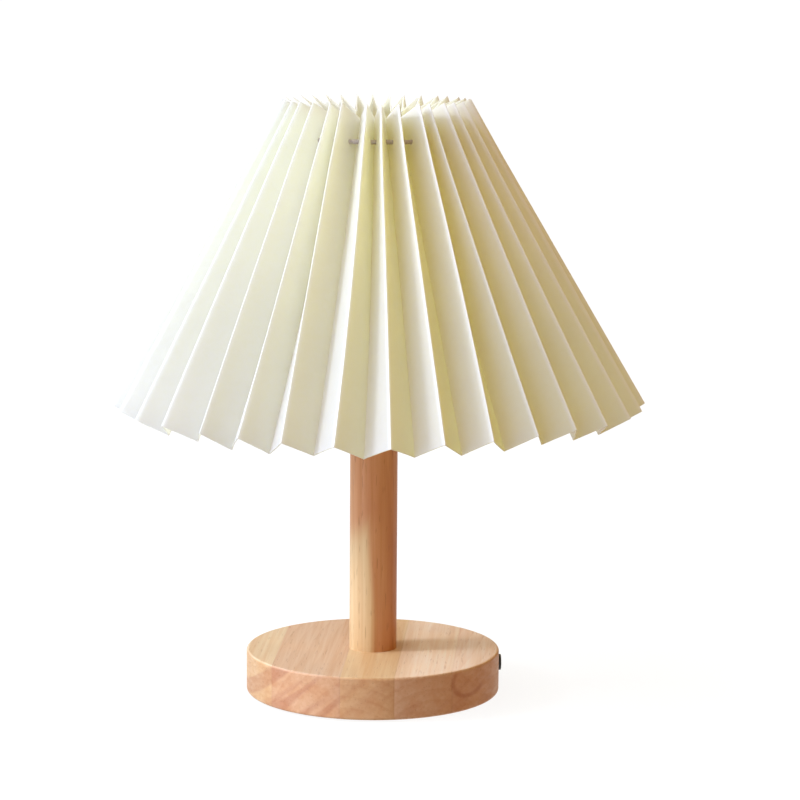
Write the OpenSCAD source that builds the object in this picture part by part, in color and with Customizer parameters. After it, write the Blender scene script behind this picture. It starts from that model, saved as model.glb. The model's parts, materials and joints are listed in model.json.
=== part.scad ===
// Bedside lamp: a pleated cone shade over a turned wooden stem on a round wooden base.
// Millimetres, +Z up. The origin is the middle of the underside, on the table.
// The front of the lamp looks along -Y.

/* [Base] */
// Diameter of the round wooden base
base_d = 120; // [110:1:150]
// Thickness of the base
base_t = 20; // [19:0.5:26]
// Radius of the eased rims of the base
base_edge = 1.2; // [0.5:0.1:2.5]
// Wood left above the pocket in the underside
roof_t = 5; // [4:0.5:7]
// Diameter of the pocket in the underside
pocket_d = 56; // [56:1:62]
// Diameter of the cover that closes the pocket
cover_d = 76; // [74:1:84]
// Thickness of the cover
cover_t = 2; // [1.5:0.1:2.6]
// Diameter of a foot pad
foot_d = 12; // [8:0.5:14]
// Thickness of a foot pad
foot_t = 1; // [0.6:0.1:2]
// Number of foot pads
foot_count = 3; // [3:1:6]
// Number of screws in the cover
cover_screw_count = 3; // [3:1:6]

/* [Cord entry] */
// Bore of the bush, for the flex
flex_d = 5.2; // [4:0.1:5.6]
// Wall of the bush
bush_wall = 0.7; // [0.5:0.1:1]
// Diameter of the head of the bush
bush_head_d = 7.6; // [7.4:0.1:10]
// Height of the head of the bush, outside the base
bush_head_t = 1.3; // [0.8:0.1:3]
// Length of the bush inside the wood
bush_l = 12; // [8:0.5:16]
// Direction in which the flex leaves, turned from +X towards +Y
bush_angle = 3; // [-20:1:20]

/* [Stem] */
// Diameter of the wooden stem
stem_d = 22.4; // [20:0.2:30]
// Length of the stem above the base
stem_h = 130; // [90:1:180]
// Diameter of the spigot under the stem
spigot_d = 15; // [14:0.5:17]
// Diameter of the threaded tube through the stem
tube_d = 10; // [9.5:0.1:10.5]
// Bore of the threaded tube
tube_bore = 7.4; // [7:0.1:8]

/* [Lampholder] */
// Outside diameter of the threaded skirt
skirt_d = 39; // [38:0.5:44]
// Diameter of the flange that carries the shade frame
flange_d = 45; // [44:0.5:50]
// Thickness of that flange
flange_t = 6; // [4:0.5:8]
// Wall of the moulded parts
shell_t = 2.4; // [2:0.1:2.6]
// Height of the domed cap
cap_h = 18; // [17:0.5:22]
// Height by which the spring contact stands above the core
contact_h = 5.2; // [4:0.1:7]
// Height of the shade ring
shade_ring_h = 7; // [5:0.5:10]
// Number of finger notches round the shade ring
notch_count = 12; // [8:1:16]

/* [Bulb] */
// Diameter of the bulb's screw cap
bulb_cap_d = 26.1; // [26:0.1:26.4]
// Length of the bulb's screw cap with its tip
bulb_cap_h = 27; // [26:0.5:29]
// Diameter of the bulb's globe
globe_d = 45; // [42:0.5:48]
// Wall of the globe
globe_t = 1.2; // [0.8:0.1:1.6]
// Height of the housing between screw cap and globe
housing_h = 15; // [13:0.5:17]

/* [Shade frame] */
// Diameter of the frame's arms
arm_d = 2.5; // [2:0.1:3]
// Diameter of the wire of the top ring
ring_wire_d = 3; // [2.4:0.1:4]
// Height of the top ring above the collar
frame_h = 80.4; // [70:0.1:95]
// Diameter of the collar that the shade ring clamps
collar_d = 54; // [53:0.5:58]
// Thickness of the collar
collar_t = 1.5; // [1:0.1:2]
// Number of arms
arm_count = 3; // [3:1:4]

/* [Shade] */
// Diameter over the outer folds at the lower edge
shade_low_d = 249.2; // [220:0.2:270]
// Diameter over the outer folds at the upper edge
shade_high_d = 87.8; // [84:0.2:96]
// Height of the outer folds, lower end to upper end
shade_h = 141; // [125:1:160]
// Number of pleats
pleats = 34; // [28:1:38]
// Depth of a pleat at the lower edge, square to the slope
pleat_low = 12.5; // [9:0.5:15]
// Depth of a pleat at the upper edge, square to the slope
pleat_high = 15; // [12:0.5:16]
// Thickness of the film
film_t = 0.5; // [0.4:0.1:0.7]
// Direction of the first outer fold, turned from +X
first_fold = -87.3; // [-95:0.1:-80]
// Distance from the upper edge to the top ring, along an inner fold
ring_down = 17; // [17:0.5:30]

/* [Draw cord] */
// Diameter of the draw cord
draw_d = 2.4; // [1.6:0.1:3]
// Distance from the upper edge to the draw cord, along an inner fold
draw_down = 14; // [8:0.5:14]
// Distance of the draw cord outside the inner folds
draw_out = 5; // [4:0.1:7]
// Length of the knot in the draw cord
knot_l = 4; // [3:0.1:4.5]

/* [Hidden] */
$fn = 64;

// Clearances between pieces
thread_gap = 0.05;
slip_gap = 0.2;
moving_gap = 0.3;
// A cut runs this much past the face that it opens
cut = 1;

// Colours
wood = "burlywood";
white_plastic = "whitesmoke";
black_plastic = "dimgray";
metal = "silver";
brass = "goldenrod";
cream = "cornsilk";

// Base and its pocket
base_r = base_d / 2;
base_top = foot_t + base_t;
roof_z = base_top - roof_t;
cover_inset = 0.2;
ledge_z = foot_t + cover_inset + cover_t;
rabbet_r = cover_d / 2 + slip_gap;
cover_screw_r = (pocket_d / 2 + rabbet_r) / 2;
foot_circle_r = (rabbet_r + base_r) / 2;

// Wood screws: each head lies a little inside its countersink, and each pilot hole runs a
// little past the tip.
screw_shank_r = 1.3;
screw_head_r = 2.6;
screw_head_h = screw_head_r - screw_shank_r;
screw_tip_r = 0.3;
screw_tip_l = 1;
head_sunk = 0.1;
pilot_spare = 0.5;
cover_bite = 5.5;
roof_bite = roof_t - 2;
roof_skin = 1;

// Cord entry
bush_r = flex_d / 2 + bush_wall;
flex_top_gap = 0.1;
flex_z = roof_z - flex_d / 2 - flex_top_gap;
bush_seat_r = bush_head_d / 2 + slip_gap;
bush_seat = sqrt(pow(base_r, 2) - pow(bush_seat_r, 2));
bush_edge = 0.4;

// Tube and its fastening
tube_r = tube_d / 2;
washer_r = 12.4;
washer_t = 1.5;
nut_flats = 14;
nut_t = 4;
tube_spare = 1;
tube_low = roof_z - washer_t - nut_t - tube_spare;
spigot_spare = 0.5;
seat_washer_t = 1;
seat_washer_inset = 0.7;

// Terminal block, hung from the pocket's roof beside the washer
block_w = 18;
block_d = 11;
block_h = 9;
block_y = washer_r + 1;
block_foot = 3;
block_floor = 2;
pole_x = block_w / 4;
pole_r = 3.7;
barrel_r = 2.2;
barrel_inset = 1;
barrel_z = roof_z - block_h + pole_r;
barrel_screw_r = 1.3;
barrel_screw_sunk = 0.3;

// Cord clamp, hung from the pocket's roof in line with the bush
clamp_gap = 2.6;
clamp_x = washer_r + clamp_gap;
clamp_l = 7;
clamp_w = 18;
clamp_lip = 3.2;
clamp_h = flex_d + clamp_lip;
clamp_screw_y = clamp_w / 2 - screw_head_r;

// Leads inside the lamp
lead_r = 1.1;
lead_gap = 1.5;
lead_sides = 8;

// Lampholder, from the stem upwards
stem_top = base_top + stem_h;
cap_z = stem_top + seat_washer_t;
cap_floor = 4;
cap_step = 0.5;
cap_r = flange_d / 2 - cap_step;
cap_foot_r = 13.5;
dome_r = cap_r - cap_foot_r;
cap_top = cap_z + cap_h;
skirt_in = 6;
core_z = cap_top - skirt_in;
flange_top = cap_top + flange_t;
core_step = 0.5;
core_top = flange_top + core_step;
core_r = skirt_d / 2 - shell_t - slip_gap;
core_ledge = 1;
cavity_r = core_r - core_ledge;
sleeve_t = 0.5;
sleeve_hole_r = 9;
sleeve_below_rim = 2.4;
skirt_lip = 2;
flange_edge = 0.6;
sleeve_r = bulb_cap_d / 2 + moving_gap;
terminal_x = 8.8;
terminal_h = 4.6;
terminal_w = 4.8;
terminal_hole_z = core_z - terminal_h / 2;
terminal_stud_r = 1.45;
terminal_stud_l = 3.6;
tube_in_cap = 1.4;
tube_high = cap_z + cap_floor + tube_in_cap;
contact_w = 6;
contact_foot = 4.4;

// Bulb
bulb_z = core_top + contact_h + moving_gap;
rim_gap = 1.5;
skirt_rim = bulb_z + bulb_cap_h - rim_gap;
bulb_cap_r = bulb_cap_d / 2;
bulb_tip_h = 1.6;
bulb_tip_r = 4.6;
bulb_tip_edge = 1.2;
insulator_h = 5.4;
housing_z = bulb_z + bulb_cap_h;
globe_r = globe_d / 2;
globe_low = housing_z + housing_h;
globe_cut = 9.3;
globe_z = globe_low + globe_cut;
globe_mouth = sqrt(pow(globe_r, 2) - pow(globe_cut, 2));
cap_wall = 0.6;
housing_wall = 1.6;
board_t = 1.6;

// Shade frame
collar_z = flange_top;
collar_top = collar_z + collar_t;
collar_in = skirt_d / 2 + moving_gap;
collar_rim = 3;
shade_ring_r = collar_d / 2 - collar_rim;
shade_ring_edge = 0.8;
notch_r = 1.6;
ring_z = collar_top + frame_h;
arm_bend = 6;

// Shade: its slope, and where it sits on the top ring
low_r = shade_low_d / 2;
high_r = shade_high_d / 2;
slope = atan((low_r - high_r) / shade_h);
slant = norm([low_r - high_r, shade_h]);
ring_t = 1 - ring_down / slant;
ring_off = film_t / 2 + moving_gap + ring_wire_d / 2;
shade_z = ring_z - shade_h * ring_t + (pleat_at(ring_t) + ring_off) * sin(slope);
half_pleat = 180 / pleats;
levels = 6;

function pleat_at(t) = pleat_low + (pleat_high - pleat_low) * t;
// A point in the plane through the axis, as radius and height: t runs up the shade,
// and inward is the distance inside the outer folds, square to the slope.
function on_slope(t, inward) = [
    low_r + (high_r - low_r) * t - inward * cos(slope),
    shade_z + shade_h * t - inward * sin(slope)
];
// Rounded to a hundredth, so that the arms' bends and straights meet face to face
ring_r = round(100 * on_slope(ring_t, pleat_at(ring_t) + ring_off)[0]) / 100;
draw_t = 1 - draw_down / slant;
draw_at = on_slope(draw_t, pleat_at(draw_t) - draw_out);

// Profile helpers

// A flat ring standing on z
module ring(outer, inner, z, h) {
    translate([0, 0, z])
        difference() {
            cylinder(r = outer, h = h);
            translate([0, 0, -cut]) cylinder(r = inner, h = h + 2 * cut);
        }
}

// A half profile of a disc with both rims rounded, to be revolved
module eased_half(r, z, h, edge) {
    translate([0, z]) square([r - edge, h]);
    translate([0, z + edge]) square([r, h - 2 * edge]);
    for (rim = [z + edge, z + h - edge])
        translate([r - edge, rim]) circle(r = edge);
}

// A countersunk wood screw pointing up, with its head's face at z
module wood_screw(z, l) {
    shank_l = l - screw_head_h - screw_tip_l;
    translate([0, 0, z]) cylinder(r1 = screw_head_r, r2 = screw_shank_r, h = screw_head_h);
    translate([0, 0, z + screw_head_h]) cylinder(r = screw_shank_r, h = shank_l);
    translate([0, 0, z + screw_head_h + shank_l])
        cylinder(r1 = screw_shank_r, r2 = screw_tip_r, h = screw_tip_l);
}

// The hole that such a screw needs, with a countersink
module screw_hole(z, l) {
    translate([0, 0, z - cut]) cylinder(r = screw_head_r + slip_gap, h = cut);
    translate([0, 0, z])
        cylinder(r1 = screw_head_r + slip_gap, r2 = screw_shank_r + slip_gap,
                 h = screw_head_h);
    translate([0, 0, z]) cylinder(r = screw_shank_r + slip_gap, h = l + cut);
}

// The pilot hole of a screw up into the pocket's roof
module roof_pilot(x, y) {
    translate([x, y, roof_z - cut])
        cylinder(r = screw_shank_r + thread_gap, h = cut + roof_t - roof_skin);
}

module round_pattern(count, r, start = 0) {
    for (i = [0 : count - 1])
        rotate([0, 0, start + i * 360 / count]) translate([r, 0, 0]) children();
}

// Tube sweep along a list of points

function unit(v) = v / norm(v);
function direction(p, i) = unit(p[min(i + 1, len(p) - 1)] - p[max(i - 1, 0)]);
// Each ring's side vector is the one before it, made square to the new direction.
function side_of(p, i) =
    let (d = direction(p, i))
    let (s = i == 0 ? (abs(d[1]) > 0.9 ? [1, 0, 0] : [0, 1, 0]) : side_of(p, i - 1))
    unit(s - d * (s * d));
function smooth_point(a, b, c, d, t) =
    b + t * ((c - a) / 2 + t * ((2 * a - 5 * b + 4 * c - d) / 2
        + t * (3 * b - a - 3 * c + d) / 2));
// A smooth curve through the points, cut into steps between each pair
function smooth(p, steps) = [
    for (i = [0 : len(p) - 2]) for (k = [0 : steps - 1])
        smooth_point(p[max(i - 1, 0)], p[i], p[i + 1], p[min(i + 2, len(p) - 1)], k / steps),
    p[len(p) - 1]
];

module tube_along(p, r, sides) {
    rings = len(p);
    sideways = [for (i = [0 : rings - 1]) side_of(p, i)];
    points = [
        for (i = [0 : rings - 1])
            let (u = sideways[i], w = cross(direction(p, i), u))
            for (k = [0 : sides - 1])
                let (a = 360 * k / sides)
                p[i] + r * (cos(a) * u + sin(a) * w)
    ];
    walls = [
        for (i = [0 : rings - 2]) for (k = [0 : sides - 1])
            let (a = i * sides + k, b = i * sides + (k + 1) % sides)
            each [[a, a + sides, b], [b, a + sides, b + sides]]
    ];
    first = [for (k = [1 : sides - 2]) [0, k, k + 1]];
    end = (rings - 1) * sides;
    last = [for (k = [1 : sides - 2]) [end, end + k + 1, end + k]];
    polyhedron(points = points, faces = concat(walls, first, last), convexity = 8);
}

// Base

module base() {
    color(wood)
        difference() {
            rotate_extrude() eased_half(base_r, foot_t, base_t, base_edge);
            translate([0, 0, foot_t - cut]) cylinder(r = rabbet_r, h = ledge_z - foot_t + cut);
            cylinder(r = pocket_d / 2, h = roof_z);
            cylinder(r = spigot_d / 2 + thread_gap, h = base_top + cut);
            round_pattern(cover_screw_count, cover_screw_r, 60)
                translate([0, 0, ledge_z - cut])
                    cylinder(r = screw_shank_r + thread_gap,
                             h = cut + cover_bite + pilot_spare);
            rotate([0, 0, bush_angle]) {
                translate([0, 0, flex_z]) rotate([0, 90, 0])
                    cylinder(r = bush_r + thread_gap, h = base_r + cut);
                translate([bush_seat, 0, flex_z]) rotate([0, 90, 0])
                    cylinder(r = bush_seat_r, h = base_r);
                for (side = [-1, 1])
                    roof_pilot(clamp_x + clamp_l / 2, side * clamp_screw_y);
            }
            roof_pilot(0, block_y + block_d / 2);
        }
}

module base_cover() {
    color(black_plastic)
        difference() {
            translate([0, 0, foot_t + cover_inset]) cylinder(d = cover_d, h = cover_t);
            round_pattern(cover_screw_count, cover_screw_r, 60)
                screw_hole(foot_t + cover_inset, cover_t);
        }
}

module cover_screws() {
    color(metal)
        round_pattern(cover_screw_count, cover_screw_r, 60)
            wood_screw(foot_t + cover_inset + head_sunk, cover_t - head_sunk + cover_bite);
}

module foot_pads() {
    color(black_plastic)
        round_pattern(foot_count, foot_circle_r, 90) cylinder(d = foot_d, h = foot_t);
}

module cord_bush() {
    color(black_plastic)
        rotate([0, 0, bush_angle]) translate([bush_seat, 0, flex_z]) rotate([0, 90, 0])
            difference() {
                union() {
                    translate([0, 0, -bush_l]) cylinder(r = bush_r, h = bush_l);
                    rotate_extrude()
                        intersection() {
                            eased_half(bush_head_d / 2, -bush_head_t, 2 * bush_head_t,
                                       bush_edge);
                            square([bush_head_d, bush_head_t]);
                        }
                }
                translate([0, 0, -bush_l - cut])
                    cylinder(d = flex_d, h = bush_l + bush_head_t + 2 * cut);
            }
}

// A saddle with a channel for the flex, screwed up into the pocket's roof
module cord_clamp() {
    color(white_plastic)
        rotate([0, 0, bush_angle]) translate([clamp_x, 0, 0])
            difference() {
                translate([0, -clamp_w / 2, roof_z - clamp_h]) cube([clamp_l, clamp_w, clamp_h]);
                translate([-cut, 0, flex_z]) rotate([0, 90, 0])
                    cylinder(r = flex_d / 2 + slip_gap, h = clamp_l + 2 * cut);
                translate([-cut, -flex_d / 2 - slip_gap, flex_z])
                    cube([clamp_l + 2 * cut, flex_d + 2 * slip_gap, clamp_h]);
                for (side = [-1, 1])
                    translate([clamp_l / 2, side * clamp_screw_y, 0])
                        screw_hole(roof_z - clamp_h, clamp_h);
            }
}

module clamp_screws() {
    color(metal)
        rotate([0, 0, bush_angle])
            for (side = [-1, 1])
                translate([clamp_x + clamp_l / 2, side * clamp_screw_y, 0])
                    wood_screw(roof_z - clamp_h + head_sunk, clamp_h - head_sunk + roof_bite);
}

// Two rounded poles on a foot, with a bore through each for its barrel
module terminal_block() {
    color(white_plastic)
        difference() {
            translate([0, block_y + block_d, 0]) rotate([90, 0, 0])
                linear_extrude(block_d) {
                    translate([-block_w / 2, roof_z - block_foot])
                        square([block_w, block_foot]);
                    for (side = [-1, 1]) translate([side * pole_x, barrel_z]) {
                        circle(r = pole_r);
                        translate([-pole_r, 0]) square([2 * pole_r, roof_z - barrel_z]);
                    }
                }
            for (side = [-1, 1]) {
                translate([side * pole_x, block_y - cut, barrel_z]) rotate([-90, 0, 0])
                    cylinder(r = barrel_r + thread_gap, h = block_d + 2 * cut);
                translate([side * pole_x, block_y + block_d / 2, barrel_z - pole_r - cut])
                    cylinder(r = barrel_screw_r + slip_gap, h = pole_r + cut);
            }
            translate([0, block_y + block_d / 2, barrel_z - pole_r - cut])
                cylinder(r = screw_head_r + slip_gap, h = block_h - block_floor + cut);
            translate([0, block_y + block_d / 2, 0])
                cylinder(r = screw_shank_r + slip_gap, h = roof_z + cut);
        }
}

// Brass barrels with a bore for the wire and a clamping screw from below
module terminal_barrels() {
    color(brass)
        for (side = [-1, 1]) translate([side * pole_x, block_y + barrel_inset, barrel_z]) {
            difference() {
                rotate([-90, 0, 0]) cylinder(r = barrel_r, h = block_d - 2 * barrel_inset);
                translate([0, -cut, 0]) rotate([-90, 0, 0])
                    cylinder(r = lead_r + slip_gap, h = block_d + cut);
            }
            translate([0, block_d / 2 - barrel_inset, -pole_r + barrel_screw_sunk])
                cylinder(r = barrel_screw_r,
                         h = pole_r - barrel_screw_sunk - lead_r - slip_gap);
        }
}

module block_screw() {
    color(metal)
        translate([0, block_y + block_d / 2, 0])
            wood_screw(roof_z - block_floor - screw_head_h + head_sunk,
                       block_floor + screw_head_h - head_sunk + roof_bite);
}

// Stem and its tube

module stem() {
    color(wood)
        difference() {
            union() {
                translate([0, 0, base_top]) cylinder(d = stem_d, h = stem_h);
                translate([0, 0, roof_z + spigot_spare]) cylinder(d = spigot_d, h = roof_t);
            }
            cylinder(r = tube_r + moving_gap, h = stem_top + cut);
        }
}

module lamp_tube() {
    color(metal) ring(tube_r, tube_bore / 2, tube_low, tube_high - tube_low);
}

module tube_washer() {
    color(metal) ring(washer_r, tube_r + slip_gap, roof_z - washer_t, washer_t);
}

module tube_nut() {
    color(metal)
        translate([0, 0, roof_z - washer_t - nut_t])
            difference() {
                cylinder(d = nut_flats / cos(30), h = nut_t, $fn = 6);
                translate([0, 0, -cut]) cylinder(r = tube_r + thread_gap, h = nut_t + 2 * cut);
            }
}

module seat_washer() {
    color(metal)
        ring(stem_d / 2 - seat_washer_inset, tube_r + slip_gap, stem_top, seat_washer_t);
}

// Route of one lead: from its barrel, under the tube's end, up the tube and out to a terminal
function lead_route(side) = [
    [side * pole_x, block_y + 3.5, barrel_z],
    [side * pole_x, block_y - 0.5, barrel_z],
    [side * pole_x * 0.95, washer_r - 1.6, barrel_z - 0.9],
    [side * pole_x * 0.7, washer_r - 4.2, tube_low - 2.1],
    [side * (lead_gap + 0.5), tube_r + 0.2, tube_low - 3.7],
    [side * lead_gap, 2.3, tube_low - 3.2],
    [side * lead_gap, 0.9, tube_low - 0.7],
    [side * lead_gap, 0.2, tube_low + 3],
    [side * lead_gap, 0, tube_low + 9],
    [side * lead_gap, 0, (tube_low + tube_high) / 2],
    [side * lead_gap, 0, tube_high - 6],
    [side * (lead_gap + 0.1), 0, tube_high - 0.5],
    [side * (lead_gap + 0.7), 0, terminal_hole_z - 2],
    [side * (lead_gap + 2.4), 0, terminal_hole_z - 0.4],
    [side * (terminal_x - 3.2), 0, terminal_hole_z],
    [side * (terminal_x - 1), 0, terminal_hole_z]
];

module live_lead() {
    color("sienna") tube_along(smooth(lead_route(1), 2), lead_r, lead_sides);
}

module neutral_lead() {
    color("steelblue") tube_along(smooth(lead_route(-1), 2), lead_r, lead_sides);
}

// Lampholder

module holder_cap() {
    color(white_plastic)
        difference() {
            rotate_extrude() {
                translate([0, cap_z]) square([cap_r - dome_r, cap_h]);
                translate([0, cap_z + dome_r]) square([cap_r, cap_h - dome_r]);
                translate([cap_r - dome_r, cap_z + dome_r]) circle(r = dome_r);
            }
            cylinder(r = tube_r + thread_gap, h = cap_top);
            translate([0, 0, cap_z + cap_floor]) cylinder(r = cavity_r, h = cap_h);
            translate([0, 0, core_z])
                cylinder(r = skirt_d / 2 + slip_gap, h = skirt_in + cut);
        }
}

// The insulating core, with a rib on its top behind the foot of the contact
module holder_core() {
    rib_t = 2;
    rib_w = 8.4;
    rib_h = 1.2;
    color("linen")
        difference() {
            union() {
                translate([0, 0, core_z]) cylinder(r = core_r, h = core_top - core_z);
                translate([-contact_foot - slip_gap - rib_t, -rib_w / 2, core_top])
                    cube([rib_t, rib_w, rib_h]);
            }
            for (side = [-1, 1])
                translate([side * terminal_x, 0, core_z - cut])
                    cylinder(r = terminal_stud_r + thread_gap, h = cut + terminal_stud_l + slip_gap);
        }
}

module core_terminals() {
    color(brass)
        for (side = [-1, 1]) translate([side * terminal_x, 0, 0]) {
            difference() {
                translate([-terminal_w / 2, -terminal_w / 2, core_z - terminal_h])
                    cube([terminal_w, terminal_w, terminal_h]);
                translate([0, 0, terminal_hole_z]) rotate([0, -90 * side, 0])
                    translate([0, 0, -1]) cylinder(r = lead_r + slip_gap, h = 4);
            }
            translate([0, 0, core_z]) cylinder(r = terminal_stud_r, h = terminal_stud_l);
        }
}

// A brass tongue: its foot lies on the core, and its bent end meets the bulb's tip
module centre_contact() {
    strip = 0.5;
    reach = 2.4;
    color(brass)
        translate([0, contact_w / 2, core_top]) rotate([90, 0, 0])
            linear_extrude(contact_w) {
                translate([-contact_foot, 0]) square([contact_foot + reach, strip]);
                translate([reach, contact_h / 2]) difference() {
                    circle(r = contact_h / 2);
                    circle(r = contact_h / 2 - strip);
                    translate([-contact_h, -contact_h]) square([contact_h, 2 * contact_h]);
                }
                translate([-reach, contact_h - strip]) square([2 * reach, strip]);
            }
}

// The screw sleeve stands on the core, with a hole round the contact
module thread_sleeve() {
    color(brass)
        difference() {
            translate([0, 0, core_top])
                cylinder(r = sleeve_r + sleeve_t, h = skirt_rim - sleeve_below_rim - core_top);
            translate([0, 0, core_top + sleeve_t]) cylinder(r = sleeve_r, h = skirt_rim);
            translate([0, 0, core_top - cut])
                cylinder(r = sleeve_hole_r, h = sleeve_t + 2 * cut);
        }
}

module holder_skirt() {
    color(white_plastic)
        difference() {
            union() {
                translate([0, 0, core_z + slip_gap])
                    cylinder(d = skirt_d, h = skirt_rim - core_z - slip_gap);
                translate([0, 0, cap_top])
                    rotate_extrude() eased_half(flange_d / 2, 0, flange_t, flange_edge);
            }
            translate([0, 0, core_z - cut])
                cylinder(r = skirt_d / 2 - shell_t, h = skirt_rim - skirt_lip - core_z + cut);
            cylinder(r = sleeve_r + sleeve_t, h = skirt_rim + cut);
        }
}

module shade_ring() {
    color(white_plastic)
        difference() {
            rotate_extrude()
                eased_half(shade_ring_r, collar_top, shade_ring_h, shade_ring_edge);
            cylinder(r = skirt_d / 2 + slip_gap, h = skirt_rim + cut);
            round_pattern(notch_count, shade_ring_r + 0.7 * notch_r)
                translate([0, 0, collar_top - cut])
                    cylinder(r = notch_r, h = shade_ring_h + 2 * cut);
        }
}

// Shade frame

module frame_collar() {
    color(metal) ring(collar_d / 2, collar_in, collar_z, collar_t);
}

// Each arm lies on the collar, bends up and ends under the top ring.
module frame_arms() {
    foot_z = collar_top + thread_gap + arm_d / 2;
    foot_x = shade_ring_r + moving_gap;
    arm_top = ring_z - ring_wire_d / 2 - thread_gap;
    color(metal)
        for (i = [0 : arm_count - 1]) rotate([0, 0, 90 + i * 360 / arm_count]) {
            translate([foot_x, 0, foot_z]) rotate([0, 90, 0])
                cylinder(d = arm_d, h = ring_r - arm_bend - foot_x);
            translate([ring_r - arm_bend, 0, foot_z + arm_bend]) rotate([90, 0, 0])
                rotate([0, 0, -90]) rotate_extrude(angle = 90)
                    translate([arm_bend, 0]) circle(d = arm_d);
            translate([ring_r, 0, foot_z + arm_bend])
                cylinder(d = arm_d, h = arm_top - foot_z - arm_bend);
        }
}

module frame_ring() {
    color(metal)
        translate([0, 0, ring_z]) rotate_extrude() translate([ring_r, 0]) circle(d = ring_wire_d);
}

// Shade

// A point beside a fold: u along the edge of the shade, v outward, square to the slope
function beside(rz, a, u, v) =
    let (r = rz[0] + v * cos(slope))
    [r * cos(a) - u * sin(a), r * sin(a) + u * cos(a), rz[1] + v * sin(slope)];

// Half the angle between the two panels of a pleat
function fold_half_angle(t) =
    let (d = pleat_at(t))
    atan(on_slope(t, d / 2)[0] * tan(half_pleat) / d);

// The outside of the film at one level: two points on each outer fold, one in each valley
function outside_at(t) =
    let (f = fold_half_angle(t), h = film_t / 2)
    let (outer = on_slope(t, 0), inner = on_slope(t, pleat_at(t)))
    [for (i = [0 : pleats - 1]) let (a = first_fold + 2 * half_pleat * i) each [
        beside(outer, a, -h * cos(f), h * sin(f)),
        beside(outer, a, h * cos(f), h * sin(f)),
        beside(inner, a + half_pleat, 0, h / sin(f))
    ]];

// The inside: one point under each outer fold, two on each inner fold
function inside_at(t) =
    let (f = fold_half_angle(t), h = film_t / 2)
    let (outer = on_slope(t, 0), inner = on_slope(t, pleat_at(t)))
    [for (i = [0 : pleats - 1]) let (a = first_fold + 2 * half_pleat * i) each [
        beside(outer, a, 0, -h / sin(f)),
        beside(inner, a + half_pleat, -h * cos(f), -h * sin(f)),
        beside(inner, a + half_pleat, h * cos(f), -h * sin(f))
    ]];

// The pleated film, one closed skin; the draw cord's holes are cut where it crosses the panels.
module pleated_shade() {
    n = 3 * pleats;
    inside = (levels + 1) * n;
    points = concat(
        [for (k = [0 : levels]) each outside_at(k / levels)],
        [for (k = [0 : levels]) each inside_at(k / levels)]
    );
    skin = [
        for (k = [0 : levels - 1]) for (i = [0 : n - 1])
            let (a = k * n + i, b = k * n + (i + 1) % n)
            each [[a, a + n, b], [b, a + n, b + n]]
    ];
    lining = [for (f = skin) [inside + f[0], inside + f[2], inside + f[1]]];
    rim = [
        for (i = [0 : pleats - 1])
            let (a = 3 * i, next = (a + 3) % n)
            each [
                [a, a + 1, inside + a],
                [a + 1, a + 2, inside + a], [a + 2, inside + a + 1, inside + a],
                [a + 2, inside + a + 2, inside + a + 1],
                [a + 2, next, inside + a + 2], [next, inside + next, inside + a + 2]
            ]
    ];
    upper = [for (f = rim) [for (p = f) p + levels * n]];
    turned = [for (f = upper) [f[0], f[2], f[1]]];
    color(cream)
        difference() {
            polyhedron(points = points, faces = concat(skin, lining, rim, turned),
                       convexity = 20);
            translate([0, 0, draw_at[1]]) rotate_extrude()
                translate([draw_at[0], 0]) circle(r = draw_d / 2 + 2 * slip_gap);
        }
}

module draw_cord() {
    color("rosybrown")
        translate([0, 0, draw_at[1]]) rotate_extrude()
            translate([draw_at[0], 0]) circle(d = draw_d);
}

// The knot sits round the cord inside one pleat at the back, with two short tails below.
module cord_knot() {
    knot_r = draw_d * 0.95;
    tail_r = draw_d * 0.35;
    tail_l = draw_d * 4.2;
    tail_lean = 7;
    back_fold = first_fold + 2 * half_pleat * round((90 - first_fold) / (2 * half_pleat));
    color("rosybrown")
        rotate([0, 0, back_fold]) translate([draw_at[0], 0, draw_at[1]])
            difference() {
                union() {
                    rotate([90, 0, 0]) rotate_extrude()
                        eased_half(knot_r, -knot_l / 2, knot_l, knot_r / 2);
                    for (side = [-1, 1])
                        rotate([side * tail_lean, 0, 0])
                            translate([-knot_r * 0.4, side * tail_r, -tail_l])
                                cylinder(r = tail_r, h = tail_l - knot_r / 2);
                }
                translate([-draw_at[0], 0, 0]) rotate_extrude()
                    translate([draw_at[0], 0]) circle(r = draw_d / 2 + thread_gap);
            }
}

// Bulb

module bulb_globe() {
    color("white")
        translate([0, 0, globe_z])
            difference() {
                sphere(r = globe_r);
                sphere(r = globe_r - globe_t);
                translate([-globe_d, -globe_d, -globe_cut - globe_d])
                    cube([2 * globe_d, 2 * globe_d, globe_d]);
            }
}

// A cup that flares from the screw cap to the globe, with a spigot down into the cap
module bulb_housing() {
    spigot_r = bulb_cap_r - cap_wall;
    spigot_z = bulb_z + bulb_tip_h + insulator_h + cap_wall;
    collar_out = 0.8;
    collar_h = 3;
    rim_h = 4;
    color(white_plastic)
        rotate_extrude()
            polygon([
                [0, spigot_z],
                [spigot_r, spigot_z],
                [spigot_r, housing_z],
                [bulb_cap_r + cap_wall, housing_z],
                [bulb_cap_r + collar_out, housing_z + collar_h],
                [globe_mouth - housing_wall, globe_low - rim_h],
                [globe_mouth, globe_low],
                [globe_mouth - housing_wall - slip_gap, globe_low],
                [globe_mouth - housing_wall - slip_gap, globe_low - board_t],
                [0, globe_low - board_t]
            ]);
}

// The round board with its light-emitting chips, set in the housing's mouth
module led_board() {
    board_r = globe_mouth - housing_wall - 2 * slip_gap;
    chip = [2.8, 3.6, 0.7];
    chip_count = 8;
    color("gainsboro") {
        translate([0, 0, globe_low - board_t]) cylinder(r = board_r, h = board_t);
        round_pattern(chip_count, board_r * 0.7)
            translate([-chip[0] / 2, -chip[1] / 2, globe_low]) cube(chip);
    }
}

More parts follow.
